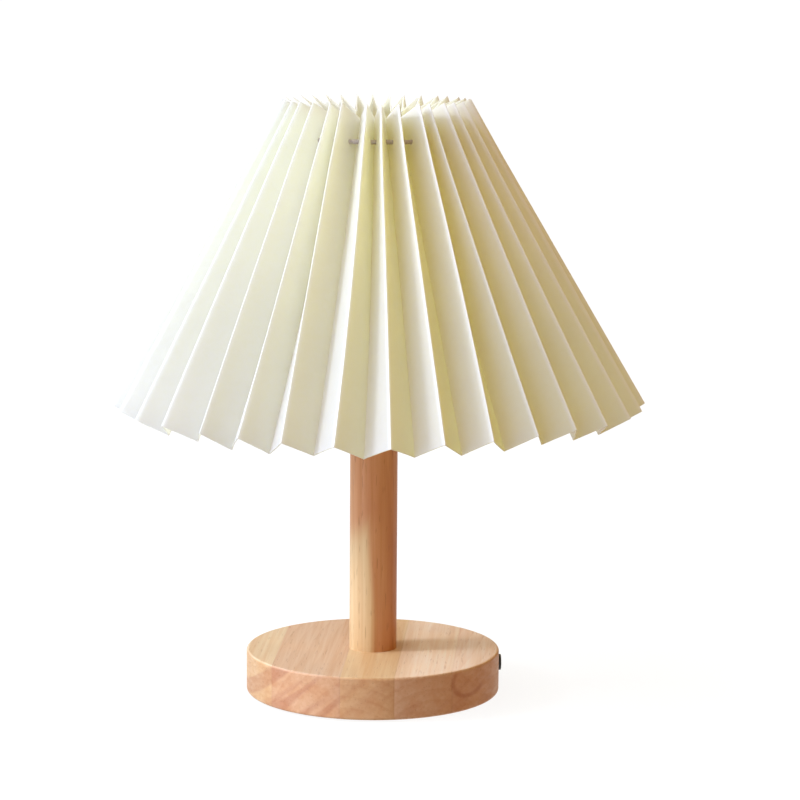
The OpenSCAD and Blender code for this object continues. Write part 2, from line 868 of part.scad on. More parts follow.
module bulb_cap() {
    cap_low = bulb_z + bulb_tip_h + insulator_h;
    crimp = 0.02;
    cap_lip = 3;
    color(metal)
        difference() {
            translate([0, 0, cap_low]) cylinder(r = bulb_cap_r, h = housing_z - cap_low);
            translate([0, 0, cap_low + cap_wall])
                cylinder(r = bulb_cap_r - cap_wall + crimp, h = bulb_cap_h);
            translate([0, 0, cap_low - cut]) cylinder(r = bulb_cap_r - cap_lip, h = 2 * cut);
        }
}

module bulb_insulator() {
    face_r = 5;
    rim_r = bulb_cap_r - 1.4;
    edge = 0.8;
    color(black_plastic)
        translate([0, 0, bulb_z + bulb_tip_h])
            rotate_extrude()
                polygon([
                    [0, 0], [face_r, 0], [face_r + edge, edge], [rim_r, insulator_h - edge],
                    [rim_r, insulator_h], [0, insulator_h]
                ]);
}

module bulb_contact() {
    color(metal)
        translate([0, 0, bulb_z])
            rotate_extrude()
                intersection() {
                    square([bulb_tip_r, bulb_tip_h]);
                    eased_half(bulb_tip_r, 0, 3 * bulb_tip_h, bulb_tip_edge);
                }
}

base();
base_cover();
cover_screws();
foot_pads();
cord_bush();
cord_clamp();
clamp_screws();
terminal_block();
terminal_barrels();
block_screw();
stem();
lamp_tube();
tube_washer();
tube_nut();
seat_washer();
live_lead();
neutral_lead();
holder_cap();
holder_core();
core_terminals();
centre_contact();
thread_sleeve();
holder_skirt();
shade_ring();
frame_collar();
frame_arms();
frame_ring();
pleated_shade();
draw_cord();
cord_knot();
bulb_globe();
bulb_housing();
led_board();
bulb_cap();
bulb_insulator();
bulb_contact();
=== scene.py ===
# %% [markdown]
# A bedside lamp with a pleated shade
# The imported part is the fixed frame: a wooden foot and stem, a lampholder, a wire frame, a bulb and a
# shade. The measured solids stay where they are. This lesson gives them their finishes, and it builds
# again, finer, the pieces whose real form is too small or too soft for the solids.

# %% Load the frame
import json
import math
import random

import bmesh
import bpy
import numpy as np
from mathutils import Matrix, Vector

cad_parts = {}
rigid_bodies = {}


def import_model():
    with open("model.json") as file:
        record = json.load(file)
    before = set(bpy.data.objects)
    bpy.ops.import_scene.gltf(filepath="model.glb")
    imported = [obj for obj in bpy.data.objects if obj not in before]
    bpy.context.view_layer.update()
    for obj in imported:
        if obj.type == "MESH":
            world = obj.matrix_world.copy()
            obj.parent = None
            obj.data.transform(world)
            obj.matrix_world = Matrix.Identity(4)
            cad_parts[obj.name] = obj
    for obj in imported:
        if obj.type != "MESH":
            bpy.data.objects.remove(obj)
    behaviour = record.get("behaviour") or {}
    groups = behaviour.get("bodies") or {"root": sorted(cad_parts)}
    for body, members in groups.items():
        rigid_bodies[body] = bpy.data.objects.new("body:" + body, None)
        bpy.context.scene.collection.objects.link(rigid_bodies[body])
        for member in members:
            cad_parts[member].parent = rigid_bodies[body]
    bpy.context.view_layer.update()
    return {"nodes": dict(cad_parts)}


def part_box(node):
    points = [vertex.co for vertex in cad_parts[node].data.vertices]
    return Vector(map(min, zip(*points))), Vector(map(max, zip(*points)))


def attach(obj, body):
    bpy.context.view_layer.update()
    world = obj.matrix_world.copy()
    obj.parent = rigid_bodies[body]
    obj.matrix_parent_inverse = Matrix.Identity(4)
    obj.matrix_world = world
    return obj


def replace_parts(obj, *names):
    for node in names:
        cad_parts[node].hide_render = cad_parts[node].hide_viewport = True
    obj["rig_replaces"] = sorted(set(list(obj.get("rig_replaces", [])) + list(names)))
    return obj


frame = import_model()
MM = 0.001
slot_of = {name: solid.data.materials[0].name for name, solid in frame["nodes"].items()}
for packed_material in list(bpy.data.materials):
    packed_material.name = "packed_" + packed_material.name

# %% [markdown]
# The camera stands a little higher than the lamp and looks slightly down, with a long lens.
# It comes first, so that every later step can be judged in the same picture.

# %% Camera
LOOKING_DOWN = 9.0
CAMERA_ROLL = 0.4
scene = bpy.context.scene
camera_data = bpy.data.cameras.new("camera")
camera_data.sensor_width = 36.0
camera_data.lens = 132.9
camera_data.clip_end = 60.0
camera = bpy.data.objects.new("camera", camera_data)
scene.collection.objects.link(camera)
camera_place = Matrix.Translation((0.0121, -1.37075, 0.3572))
camera_tilt = Matrix.Rotation(math.radians(90.0 - LOOKING_DOWN), 4, "X")
camera_roll = Matrix.Rotation(math.radians(CAMERA_ROLL), 4, "Z")
camera.matrix_world = camera_place @ camera_tilt @ camera_roll
scene.camera = camera
scene.view_settings.view_transform = "Standard"
scene.view_settings.look = "None"
print("camera at", [round(v, 3) for v in camera.location])

# %% [markdown]
# Light and finishes are both made of shader nodes. A tree of nodes written out link by link is long and
# hard to read. So a small class holds one output of a tree, called a pattern here, and the signs of plain
# arithmetic join patterns to numbers and to each other.

# %% Helpers for patterns
class Pattern:
    """One output of a shader tree. A plus, minus, times or divide sign adds a node of arithmetic."""

    def __init__(self, tree, socket):
        self.tree = tree
        self.socket = socket

    def __add__(self, other):
        return reckon("ADD", self, other)

    def __sub__(self, other):
        return reckon("SUBTRACT", self, other)

    def __mul__(self, other):
        return reckon("MULTIPLY", self, other)

    def __truediv__(self, other):
        return reckon("DIVIDE", self, other)

    def __abs__(self):
        return reckon("ABSOLUTE", self)


def add(tree, kind, inputs=None, **settings):
    """Adds one shader node; a pattern or socket is linked to its input, and any other value is set."""
    node = tree.nodes.new("ShaderNode" + kind)
    for option, value in settings.items():
        setattr(node, option, value)
    for place, value in (inputs or {}).items():
        source = value.socket if isinstance(value, Pattern) else value
        if isinstance(source, bpy.types.NodeSocket):
            tree.links.new(source, node.inputs[place])
        else:
            node.inputs[place].default_value = source
    return node


def pattern(tree, kind, output, inputs=None, **settings):
    """Adds one node and gives back one of its outputs."""
    return Pattern(tree, add(tree, kind, inputs, **settings).outputs[output])


def reckon(operation, first, second=0.0):
    """One step of arithmetic on a pattern."""
    return pattern(first.tree, "Math", 0, {0: first, 1: second}, operation=operation)


def spread(value, low, high, to_low=0.0, to_high=1.0):
    """Maps a pattern from one range to another, with soft ends."""
    return pattern(value.tree, "MapRange", "Result", {
        "Value": value, "From Min": low, "From Max": high, "To Min": to_low, "To Max": to_high,
    }, interpolation_type="SMOOTHSTEP")


def blend_colour(share, first, second, kind="MIX"):
    """Mixes two colours by a share."""
    return pattern(share.tree, "Mix", 2, {0: share, 6: first, 7: second}, data_type="RGBA", blend_type=kind)


def split(vector):
    """The three parts of a place or a direction."""
    parts = add(vector.tree, "SeparateXYZ", {"Vector": vector}).outputs
    return [Pattern(vector.tree, parts[axis]) for axis in "XYZ"]


print("pattern helpers ready")

# %% [markdown]
# The light is a studio window: one soft lamp on the left, a neutral sky, and a warm dim room on the
# right and below. The sky is a world shader that mixes its tones by direction. The lamp's distance and
# size set how soft the edge between light and shadow is on the round stem.

# %% Window light and sky
WINDOW_TURN = math.radians(-80.0)
WINDOW_HEIGHT = math.radians(31.0)
WINDOW_WAY = 2.0
AIM_HEIGHT = 0.14
window_direction = Vector((
    math.sin(WINDOW_TURN) * math.cos(WINDOW_HEIGHT),
    -math.cos(WINDOW_TURN) * math.cos(WINDOW_HEIGHT),
    math.sin(WINDOW_HEIGHT),
))
window_data = bpy.data.lights.new("window_light", "AREA")
window_data.shape = "DISK"
window_data.size = 0.45
window_data.energy = 19.5
window_data.color = (0.90, 0.955, 1.08)
window = bpy.data.objects.new("window_light", window_data)
window.location = Vector((0.0, 0.0, AIM_HEIGHT)) + window_direction * WINDOW_WAY
window.rotation_mode = "QUATERNION"
window.rotation_quaternion = window_direction.to_track_quat("Z", "Y")
scene.collection.objects.link(window)

COOL_ROOM, WARM_ROOM = (0.48, 0.53, 0.57, 1.0), (0.42, 0.225, 0.060, 1.0)
WINDOW_GLOW, CEILING_GLOW = (1.85, 2.15, 2.80, 1.0), (0.96, 0.94, 0.78, 1.0)
BACKDROP = (0.92, 0.925, 0.93, 1.0)
sky = bpy.data.worlds.new("studio_sky")
scene.world = sky
sky.use_nodes = True
sky_tree = sky.node_tree
sky_tree.nodes.clear()
sky_way = pattern(sky_tree, "TexCoord", "Generated")
sky_right, _, sky_up = split(sky_way)
window_side = pattern(sky_tree, "VectorMath", "Value", {0: sky_way, 1: (-0.88, -0.25, 0.40)},
                      operation="DOT_PRODUCT")
sky_tone = blend_colour(spread(sky_right, -0.45, 0.45), COOL_ROOM, WARM_ROOM)
sky_tone = blend_colour(spread(window_side, 0.45, 1.0), sky_tone, WINDOW_GLOW)
sky_tone = blend_colour(spread(sky_up, 0.72, 0.97), sky_tone, CEILING_GLOW, "ADD")
# The camera itself sees a plain pale backdrop beyond the floor
sky_tone = blend_colour(pattern(sky_tree, "LightPath", "Is Camera Ray"), sky_tone, BACKDROP)
sky_light = add(sky_tree, "Background", {"Color": sky_tone, "Strength": 1.0})
add(sky_tree, "OutputWorld", {"Surface": sky_light.outputs["Background"]})
print("window light", [round(v, 2) for v in window.location])

# %% [markdown]
# The floor is a plain pale disc. In the photograph it is brighter than the film can hold, so its own
# shader glows a little. Diffuse rays pass it by: the lamp's shadow sides keep the warm dim light of
# the room, and only a faint contact shadow ties the foot to the ground.

# %% Floor
FLOOR_SIDES = 128
FLOOR_RADIUS = 24.0
FLOOR_GLOW = 0.89


def pale_floor_finish():
    """A matt pale ground that glows a little, and is clear from below."""
    material = bpy.data.materials.new("pale_floor")
    material.use_nodes = True
    tree = material.node_tree
    tree.nodes.clear()
    matt = add(tree, "BsdfDiffuse", {"Color": (0.16, 0.16, 0.16, 1.0)})
    glow = add(tree, "Emission", {"Color": (1.0, 1.0, 1.0, 1.0), "Strength": FLOOR_GLOW})
    both = add(tree, "AddShader", {0: matt.outputs[0], 1: glow.outputs[0]})
    clear = add(tree, "BsdfTransparent")
    from_below = pattern(tree, "NewGeometry", "Backfacing")
    seen = add(tree, "MixShader", {0: from_below, 1: both.outputs[0], 2: clear.outputs[0]})
    add(tree, "OutputMaterial", {"Surface": seen.outputs[0]})
    return material


floor_turns = [2 * math.pi * k / FLOOR_SIDES for k in range(FLOOR_SIDES)]
floor_rim = [(FLOOR_RADIUS * math.cos(a), FLOOR_RADIUS * math.sin(a), 0.0) for a in floor_turns]
floor_mesh = bpy.data.meshes.new("pale_floor")
floor_mesh.from_pydata(floor_rim, [], [tuple(range(FLOOR_SIDES))])
floor_mesh.materials.append(pale_floor_finish())
floor = bpy.data.objects.new("pale_floor", floor_mesh)
scene.collection.objects.link(floor)
floor.visible_diffuse = False
floor.visible_transmission = False
floor.visible_shadow = False
print("floor radius", FLOOR_RADIUS)

# %% [markdown]
# Every finish starts from one shader whose fixed numbers sit on its own sockets, so that an exported
# model keeps them. Colour and relief come from patterns in the piece's own space. These helpers keep
# each recipe short.

# %% Helpers for finishes
def tone(red, green, blue):
    """A colour given as a screen shows it, turned to the linear values that a shader uses."""
    parts = []
    for value in (red, green, blue):
        v = value / 255.0
        parts.append(v / 12.92 if v <= 0.04045 else ((v + 0.055) / 1.055) ** 2.4)
    return (*parts, 1.0)


def new_finish(name, **sockets):
    """A material with one main shader. Returns the material, its tree and the shader."""
    material = bpy.data.materials.new(name)
    material.use_nodes = True
    tree = material.node_tree
    tree.nodes.clear()
    shader = add(tree, "BsdfPrincipled")
    for socket, value in sockets.items():
        shader.inputs[socket.replace("_", " ")].default_value = value
    add(tree, "OutputMaterial", {"Surface": shader.outputs["BSDF"]})
    return material, tree, shader


def dress(shader, **sockets):
    """Links patterns to the shader's sockets."""
    for socket, source in sockets.items():
        shader.id_data.links.new(source.socket, shader.inputs[socket.replace("_", " ")])


def let_light_through(shader, share, colour, **inputs):
    """Mixes the main shader with a translucent one, by a share."""
    tree = shader.id_data
    through = add(tree, "BsdfTranslucent", {"Color": colour, **inputs})
    both = add(tree, "MixShader", {0: share, 1: shader.outputs[0], 2: through.outputs[0]})
    out = next(node for node in tree.nodes if node.type == "OUTPUT_MATERIAL")
    tree.links.new(both.outputs[0], out.inputs["Surface"])


def own_place(tree):
    """The piece's own coordinates, in metres."""
    return pattern(tree, "TexCoord", "Object")


def stretch(place, x, y, z):
    """A place scaled along each axis."""
    return pattern(place.tree, "VectorMath", "Vector", {0: place, 1: (x, y, z)}, operation="MULTIPLY")


def cloud(place, scale=1.0, detail=2.0, roughness=0.5):
    """Soft random spots, about 0.3 to 0.7."""
    return pattern(place.tree, "TexNoise", "Fac", {
        "Vector": place, "Scale": scale, "Detail": detail, "Roughness": roughness,
    })


def stain(colour, share, red, green, blue):
    """Multiplies a colour by a tint, by a share."""
    return blend_colour(share, colour, (red, green, blue, 1.0), "MULTIPLY")


def mottled(spots, first, second, low=0.35, high=0.7):
    """Two tones in soft patches."""
    return blend_colour(spread(spots, low, high), first, second)


def relief(height, distance, strength):
    """Fine relief from a height pattern."""
    return pattern(height.tree, "Bump", "Normal", {
        "Height": height, "Distance": distance, "Strength": strength,
    })


def steps(value, stops, smooth=False):
    """A colour for each part of a range: stops are (start, colour)."""
    ramp = add(value.tree, "ValToRGB", {"Fac": value})
    ramp.color_ramp.interpolation = "LINEAR" if smooth else "CONSTANT"
    marks = ramp.color_ramp.elements
    while len(marks) < len(stops):
        marks.new(0.5)
    for mark, (start, colour) in zip(marks, stops):
        mark.position = start
        mark.color = colour
    return Pattern(value.tree, ramp.outputs["Color"])


print("finish helpers ready")

# %% [markdown]
# Foot and stem are the same light wood under a thin satin oil. A wood picture would only cover one side,
# so the grain is solid: growth rings round an axis, long fibres and short dark pores, all in the piece's
# own space. What both pieces share stands here.

# %% Wood grain
LATE_TINT = (0.80, 0.62, 0.47)
FIBRE_TINT = (0.90, 0.80, 0.68)
OILED_WOOD = {"Specular_IOR_Level": 0.32, "Coat_Weight": 0.06, "Coat_Roughness": 0.3}


def distance_from_axis(side_way, down_way):
    """How far a point is from a growth axis."""
    return reckon("SQRT", side_way * side_way + down_way * down_way)


def growth_rings(far, width, early, rise):
    """Late wood: it gets darker across each ring and stops short at the next one."""
    ring = reckon("FRACT", far * (1 / width))
    greys = ((0.0, early), (rise, 0.45), (0.9, 1.0), (1.0, early))
    return steps(ring, [(start, (grey, grey, grey, 1.0)) for start, grey in greys], smooth=True)


def wood_relief(fibre, pore_mark):
    """Fibres stand up a little and pores are sunk."""
    return relief(fibre * 0.35 - pore_mark * 0.6, 0.00012, 0.8)


print("wood helpers ready")

# %% [markdown]
# The foot is a round disc cut from rubberwood staves, glued edge to edge, and each stave has its own tone
# and its own growth axis. The same grain turns into end grain by itself on the front and back of the rim,
# where the oil soaks in and the tone gets darker. There the photograph shows slanting bands and one bow.
# The whole rim is also painted darker, most at its left and right ends, which is painted shade. The right
# part of the top lies in shadow and is painted lighter, which is painted light.

# %% Foot wood
STAVE_TURN = math.radians(3.5)
BASE_HALF = 0.060
STAVE_EDGES = [-0.060, -0.0442, -0.0111, 0.0138, 0.0398]
# The two staves on the right have paler, bluer tones: partly their own tone, partly painted light on the
# part of the top that lies in shadow
STAVE_TONES = [
    tone(240, 216, 180), tone(233, 199, 168), tone(236, 205, 163),
    tone(246, 222, 196), tone(245, 220, 197),
]
STAVE_SEEDS = [(0.1, 0.5, 0.9), (0.7, 0.2, 0.35), (0.35, 0.9, 0.6), (0.85, 0.45, 0.15), (0.2, 0.05, 0.75)]
# Where the painted light of the top, the painted shade of the rim's ends and the rim's bands start and end,
# across the foot and along it, in metres
PAINTED_LIGHT_TOP, PAINTED_SHADE_LEFT, PAINTED_SHADE_RIGHT, BAND_END = (0.012, 0.026), (-0.058, -0.028), (0.004, 0.020), (-0.016, -0.008)
BOW_MIDDLE, BOW_RADIUS, BOW_FRONT = (0.0470, 0.0150), 0.0068, (-0.03, -0.01)


def rim_grain_and_painted_light(colour, across, along, up):
    """Darker end grain on the rim, slanting bands at its left and a bow at its right; painted shade on the
    rim, painted light on top.
    """
    tree = colour.tree
    facing = split(pattern(tree, "TexCoord", "Normal"))
    end_grain = spread(abs(facing[1]), 0.25, 0.8)
    on_rim = spread(abs(facing[2]), 0.3, 0.9, 1.0, 0.0)
    on_top = spread(on_rim, 0.0, 0.4, 1.0, 0.0)
    colour = stain(colour, end_grain, 0.93, 0.84, 0.76)
    # Painted shade: the whole rim is darker than the top
    colour = stain(colour, on_rim, 0.93, 0.84, 0.80)
    # Painted light: the right part of the top, which lies in the shadow of stem and shade, is lighter
    colour = stain(colour, on_top * spread(across, *PAINTED_LIGHT_TOP), 1.13, 1.17, 1.24)
    # Painted shade: the left and the right end of the rim are darker still
    colour = stain(colour, on_rim * spread(across, *PAINTED_SHADE_LEFT, 1.0, 0.0), 0.76, 0.67, 0.58)
    colour = stain(colour, on_rim * spread(across, *PAINTED_SHADE_RIGHT), 0.84, 0.79, 0.74)
    slant = across * 0.67 - up * 0.74
    band_place = pattern(tree, "CombineXYZ", "Vector", {"X": slant * 190, "Y": along * 12, "Z": up * 22})
    band = spread(cloud(band_place, roughness=0.45), 0.42, 0.58)
    band_tone = blend_colour(band, (0.93, 0.80, 0.72, 1.0), (1.12, 1.13, 1.04, 1.0))
    band_share = on_rim * spread(across, *BAND_END, 1.0, 0.25) * 0.9
    colour = blend_colour(band_share, colour, band_tone, "MULTIPLY")
    bow_across, bow_up = across - BOW_MIDDLE[0], up - BOW_MIDDLE[1]
    bow_line = abs(distance_from_axis(bow_across, bow_up) - BOW_RADIUS)
    bow = spread(bow_line, 0.0002, 0.0016, 0.8, 0.0) * spread(along, *BOW_FRONT, 1.0, 0.0)
    bow_open = spread(bow_across * 0.7 + bow_up, -0.001, 0.003, 1.0, 0.0)
    return stain(colour, bow * bow_open * on_rim, 0.78, 0.60, 0.48)


def base_wood_finish():
    """Edge-glued light hardwood under a thin satin oil."""
    material, tree, shader = new_finish("base_wood", Roughness=0.46, **OILED_WOOD)
    own = own_place(tree)
    place = pattern(tree, "Mapping", "Vector", {"Vector": own, "Rotation": (0.0, 0.0, STAVE_TURN)})
    across, along, up = split(place)
    share = across * (1 / (2 * BASE_HALF)) + 0.5
    starts = [(edge + BASE_HALF) / (2 * BASE_HALF) for edge in STAVE_EDGES]
    stave_tone = steps(share, list(zip(starts, STAVE_TONES)))
    stave_seed = steps(share, [(start, (*seed, 1.0)) for start, seed in zip(starts, STAVE_SEEDS)])
    # The growth axis lies beside each stave and leans a little along it
    side_seed, lean_seed, depth_seed = split(stave_seed)
    side_way = along * (lean_seed * 0.26 - 0.13) + across - (side_seed * 0.09 - 0.045)
    down_way = depth_seed * 0.03 + 0.012 + up
    wander = cloud(stretch(own, 20, 9, 20), detail=1.0)
    late_wood = growth_rings(distance_from_axis(side_way, down_way) + wander * 0.008, 0.0052, 0.25, 0.55)
    shifted = pattern(tree, "VectorMath", "Vector", {0: place, 1: stave_seed}, operation="ADD")
    fibre = cloud(stretch(shifted, 620, 16, 620), detail=3.0, roughness=0.6)
    streak = cloud(stretch(shifted, 150, 6, 150))
    pore_mark = spread(cloud(stretch(shifted, 1150, 120, 1150), detail=1.0), 0.64, 0.72)
    patch = cloud(shifted, 38, detail=1.0)
    colour = stain(stave_tone, late_wood * 0.32, *LATE_TINT)
    colour = stain(colour, spread(streak, 0.38, 0.72, 0.10, 0.85), 0.93, 0.82, 0.72)
    colour = stain(colour, spread(fibre, 0.35, 0.65, 0.0, 0.5), *FIBRE_TINT)
    colour = stain(colour, spread(patch, 0.35, 0.7, 0.0, 0.5), 1.06, 1.04, 1.0)
    colour = stain(colour, pore_mark * 0.24, 0.56, 0.40, 0.30)
    # Thin glue lines between the staves
    for edge in STAVE_EDGES[1:]:
        colour = stain(colour, spread(abs(across - edge), 0.0001, 0.0005, 0.12, 0.0), 0.55, 0.38, 0.25)
    dress(shader, Base_Color=rim_grain_and_painted_light(colour, across, along, up),
          Roughness=spread(fibre, 0.3, 0.7, 0.42, 0.56), Normal=wood_relief(fibre, pore_mark))
    return material


base_wood = base_wood_finish()
print("foot wood:", len(base_wood.node_tree.nodes), "nodes")

# %% [markdown]
# The stem is one dowel of the same wood, turned with the grain upright. Its rings stand far off to one
# side, so they read as long upright lines with a slow wave, and the pores are fine upright dashes.
# Stretched spots alone would look printed on. The photograph shows pale wood at the left and below, and
# ruddy wood at the right and above. The pale tone is painted light where the window light falls, and the
# ruddy tone is painted shade on the stem's far side and under the shadow of the shade.

# %% Stem wood
# Where the painted light and shade start and end across the stem and up it, in metres
PAINTED_SHADE_EDGE, EDGE_LEAN, PAINTED_SHADOW_CLIMB = (0.0015, 0.0055), (0.030, 0.085), (0.080, 0.096)
PAINTED_SHADOW_LEFT, PAINTED_SHADOW_RIGHT = (-0.0075, -0.0025), (0.0010, 0.0060)


def stem_wood_finish():
    """A turned dowel with upright grain, and painted light and shade."""
    material, tree, shader = new_finish("stem_wood", Roughness=0.44, **OILED_WOOD)
    place = own_place(tree)
    across, along, up = split(place)
    wander = cloud(stretch(place, 30, 30, 7))
    far = distance_from_axis(up * 0.05 + across + 0.016, along - 0.010) + wander * 0.006
    late_wood = growth_rings(far, 0.0046, 0.2, 0.6)
    fibre = cloud(stretch(place, 640, 640, 14), detail=3.0, roughness=0.6)
    streak = cloud(stretch(place, 170, 170, 7))
    pore_mark = spread(cloud(stretch(place, 1250, 1250, 110), detail=1.0), 0.64, 0.72)
    patch = cloud(stretch(place, 40, 40, 14), detail=1.0)
    # The lit tone is painted light and the shaded tone is painted shade
    painted_lit_wood = mottled(patch, tone(229, 197, 148), tone(222, 187, 138))
    painted_shaded_wood = mottled(patch, tone(218, 161, 112), tone(209, 148, 99))
    # Painted shade starts right of a line that leans left as it climbs, and painted shadow above a slanting
    # line
    edge_way = across + wander * 0.004 + spread(up, *EDGE_LEAN, 0.0, 0.0045)
    painted_shadow_above = spread(up - across * 0.6 + wander * 0.012, *PAINTED_SHADOW_CLIMB)
    colour = blend_colour(reckon("MAXIMUM", spread(edge_way, *PAINTED_SHADE_EDGE), painted_shadow_above), painted_lit_wood, painted_shaded_wood)
    # Painted shadow: the middle of the front is darker in its upper part, where the shade's shadow falls
    painted_shadow_streak = spread(across, *PAINTED_SHADOW_LEFT) * spread(across, *PAINTED_SHADOW_RIGHT, 1.0, 0.0) * painted_shadow_above
    colour = stain(colour, painted_shadow_streak, 0.90, 0.78, 0.72)
    colour = stain(colour, late_wood * 0.40, *LATE_TINT)
    colour = stain(colour, spread(streak, 0.42, 0.68), 0.92, 0.82, 0.72)
    colour = stain(colour, spread(fibre, 0.35, 0.65, 0.0, 0.5), *FIBRE_TINT)
    colour = stain(colour, pore_mark * 0.40, 0.50, 0.34, 0.22)
    dress(shader, Base_Color=colour, Roughness=spread(fibre, 0.3, 0.7, 0.40, 0.54),
          Normal=wood_relief(fibre, pore_mark))
    return material


stem_wood = stem_wood_finish()
print("stem wood:", len(stem_wood.node_tree.nodes), "nodes")

# %% [markdown]
# The hidden pieces are moulded plastic, plated metal, rubber and wire. One recipe each for plastic and
# metal is enough: a colour that varies a little, a roughness that varies more, and a relief at the
# scale of the real surface, such as spark-eroded mould texture, or the drawing lines of a plated tube.

# %% Plastic, metal, rubber and wire finishes
def plastic_finish(name, colour, roughness, grain, depth, darker=0.97):
    """Moulded plastic: grain is the texture's spots per metre, depth its relief in metres."""
    material, tree, shader = new_finish(name, Roughness=roughness, Specular_IOR_Level=0.5)
    place = own_place(tree)
    wear = cloud(place, 70)
    worn_colour = tuple(v * darker for v in colour[:3]) + (1.0,)
    dress(shader, Base_Color=mottled(wear, colour, worn_colour),
          Roughness=spread(wear, 0.3, 0.7, roughness * 0.85, roughness * 1.2),
          Normal=relief(cloud(place, grain, 3.0), depth, 0.7))
    return material


def metal_finish(name, colour, roughness, worn=(0.86, 0.86, 0.88)):
    """Plated or drawn metal with dull patches and fine upright scratches."""
    material, tree, shader = new_finish(name, Metallic=1.0, Roughness=roughness)
    place = own_place(tree)
    patch = cloud(place, 110, 3.0)
    scratch = cloud(stretch(place, 900, 900, 60), detail=3.0, roughness=0.65)
    shaded_low_skin = tuple(v * w for v, w in zip(colour[:3], worn)) + (1.0,)
    dress(shader, Base_Color=mottled(patch, colour, shaded_low_skin, 0.4),
          Roughness=spread(patch, 0.3, 0.75, roughness * 0.8, roughness * 1.5),
          Normal=relief(scratch, 0.00003, 0.6))
    return material


white_plastic = plastic_finish("white_plastic", tone(240, 240, 236), 0.28, 900, 0.00002)
plastic_finish("core_plastic", tone(226, 220, 205), 0.5, 1400, 0.00005)
plastic_finish("black_plastic", tone(46, 46, 48), 0.42, 1600, 0.00006, 0.8)
plastic_finish("white_wire", tone(238, 238, 233), 0.38, 1100, 0.00006)
plastic_finish("brown_insulation", tone(112, 66, 38), 0.34, 700, 0.00003, 0.85)
plastic_finish("blue_insulation", tone(48, 104, 176), 0.34, 700, 0.00003, 0.85)
zinc = metal_finish("zinc", tone(214, 216, 219), 0.26)
brass = metal_finish("brass", tone(226, 190, 112), 0.24, (0.82, 0.74, 0.62))
nickel = metal_finish("nickel", tone(222, 219, 211), 0.20)
print("plastics and metals made")

# %% [markdown]
# Three hidden pieces need a recipe of their own: the foam pads with their open cells, the opal globe that
# passes soft light, and the board whose yellow chips stand on a white plate.

# %% Pads, globe and board
CHIP_HIGH = 0.7 * MM


def foot_rubber_finish():
    """Fine-cell foam rubber: small open cells, with painted shade in their hollows."""
    material, tree, shader = new_finish("foot_rubber", Roughness=0.88, Specular_IOR_Level=0.25)
    place = own_place(tree)
    cells = pattern(tree, "TexVoronoi", "Distance", {"Vector": place, "Scale": 1500.0})
    dress(shader, Base_Color=mottled(cells, tone(34, 34, 35), tone(58, 58, 59), 0.1, 0.6),
          Normal=relief(cells + cloud(place, 400), 0.00018, 0.9))
    return material


def opal_finish():
    """An opal globe: a satin skin that passes soft light."""
    material, tree, shader = new_finish("opal", Roughness=0.30, Specular_IOR_Level=0.5)
    place = own_place(tree)
    colour = blend_colour(cloud(place, 45), tone(244, 244, 240), tone(236, 237, 234))
    dress(shader, Base_Color=colour, Normal=relief(cloud(place, 500), 0.00002, 0.5))
    let_light_through(shader, 0.4, (0.90, 0.90, 0.88, 1.0))
    return material


def board_finish(board_face):
    """White board below, yellow chips above the board's face."""
    material, tree, shader = new_finish("board_white", Roughness=0.45, Specular_IOR_Level=0.5)
    place = own_place(tree)
    spots = cloud(place, 600)
    chip = reckon("GREATER_THAN", split(place)[2], board_face + 0.0001)
    board = blend_colour(spots, tone(240, 240, 236), tone(229, 230, 226))
    phosphor = blend_colour(spots, tone(236, 205, 92), tone(222, 186, 70))
    dress(shader, Base_Color=blend_colour(chip, board, phosphor), Normal=relief(spots, 0.00004, 0.6))
    return material


foot_rubber_finish()
opal_finish()
board_finish(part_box("led_board")[1].z - CHIP_HIGH)
print("finishes made:", len(bpy.data.materials))

# %% [markdown]
# The film of the shade is thin cream plastic paper. Light falls on it and also passes through it, so the
# panels that face away from the window still glow, and light that bounces between two panels turns
# yellow in the valleys. A shader that mixes a satin surface with a translucent one does both. The film
# is also painted unevenly, as painted light and shade: the light it passes is yellower on the side away
# from the window, its skin is darker towards its lower edge, and the light it passes is almost white
# along its upper edge.

# %% Shade film finish
LOW_PASS, HIGH_PASS, FOLD_PASS = 0.45, 0.50, -0.22
# Heights over which the painted shade of the skin fades, the translucency grows and the painted light of
# the upper edge begins, in metres
SKIN_SHADE_FADES, MORE_PASSES, TOP_PAINTED_LIGHT = (0.160, 0.250), (0.150, 0.250), (0.2650, 0.2760)


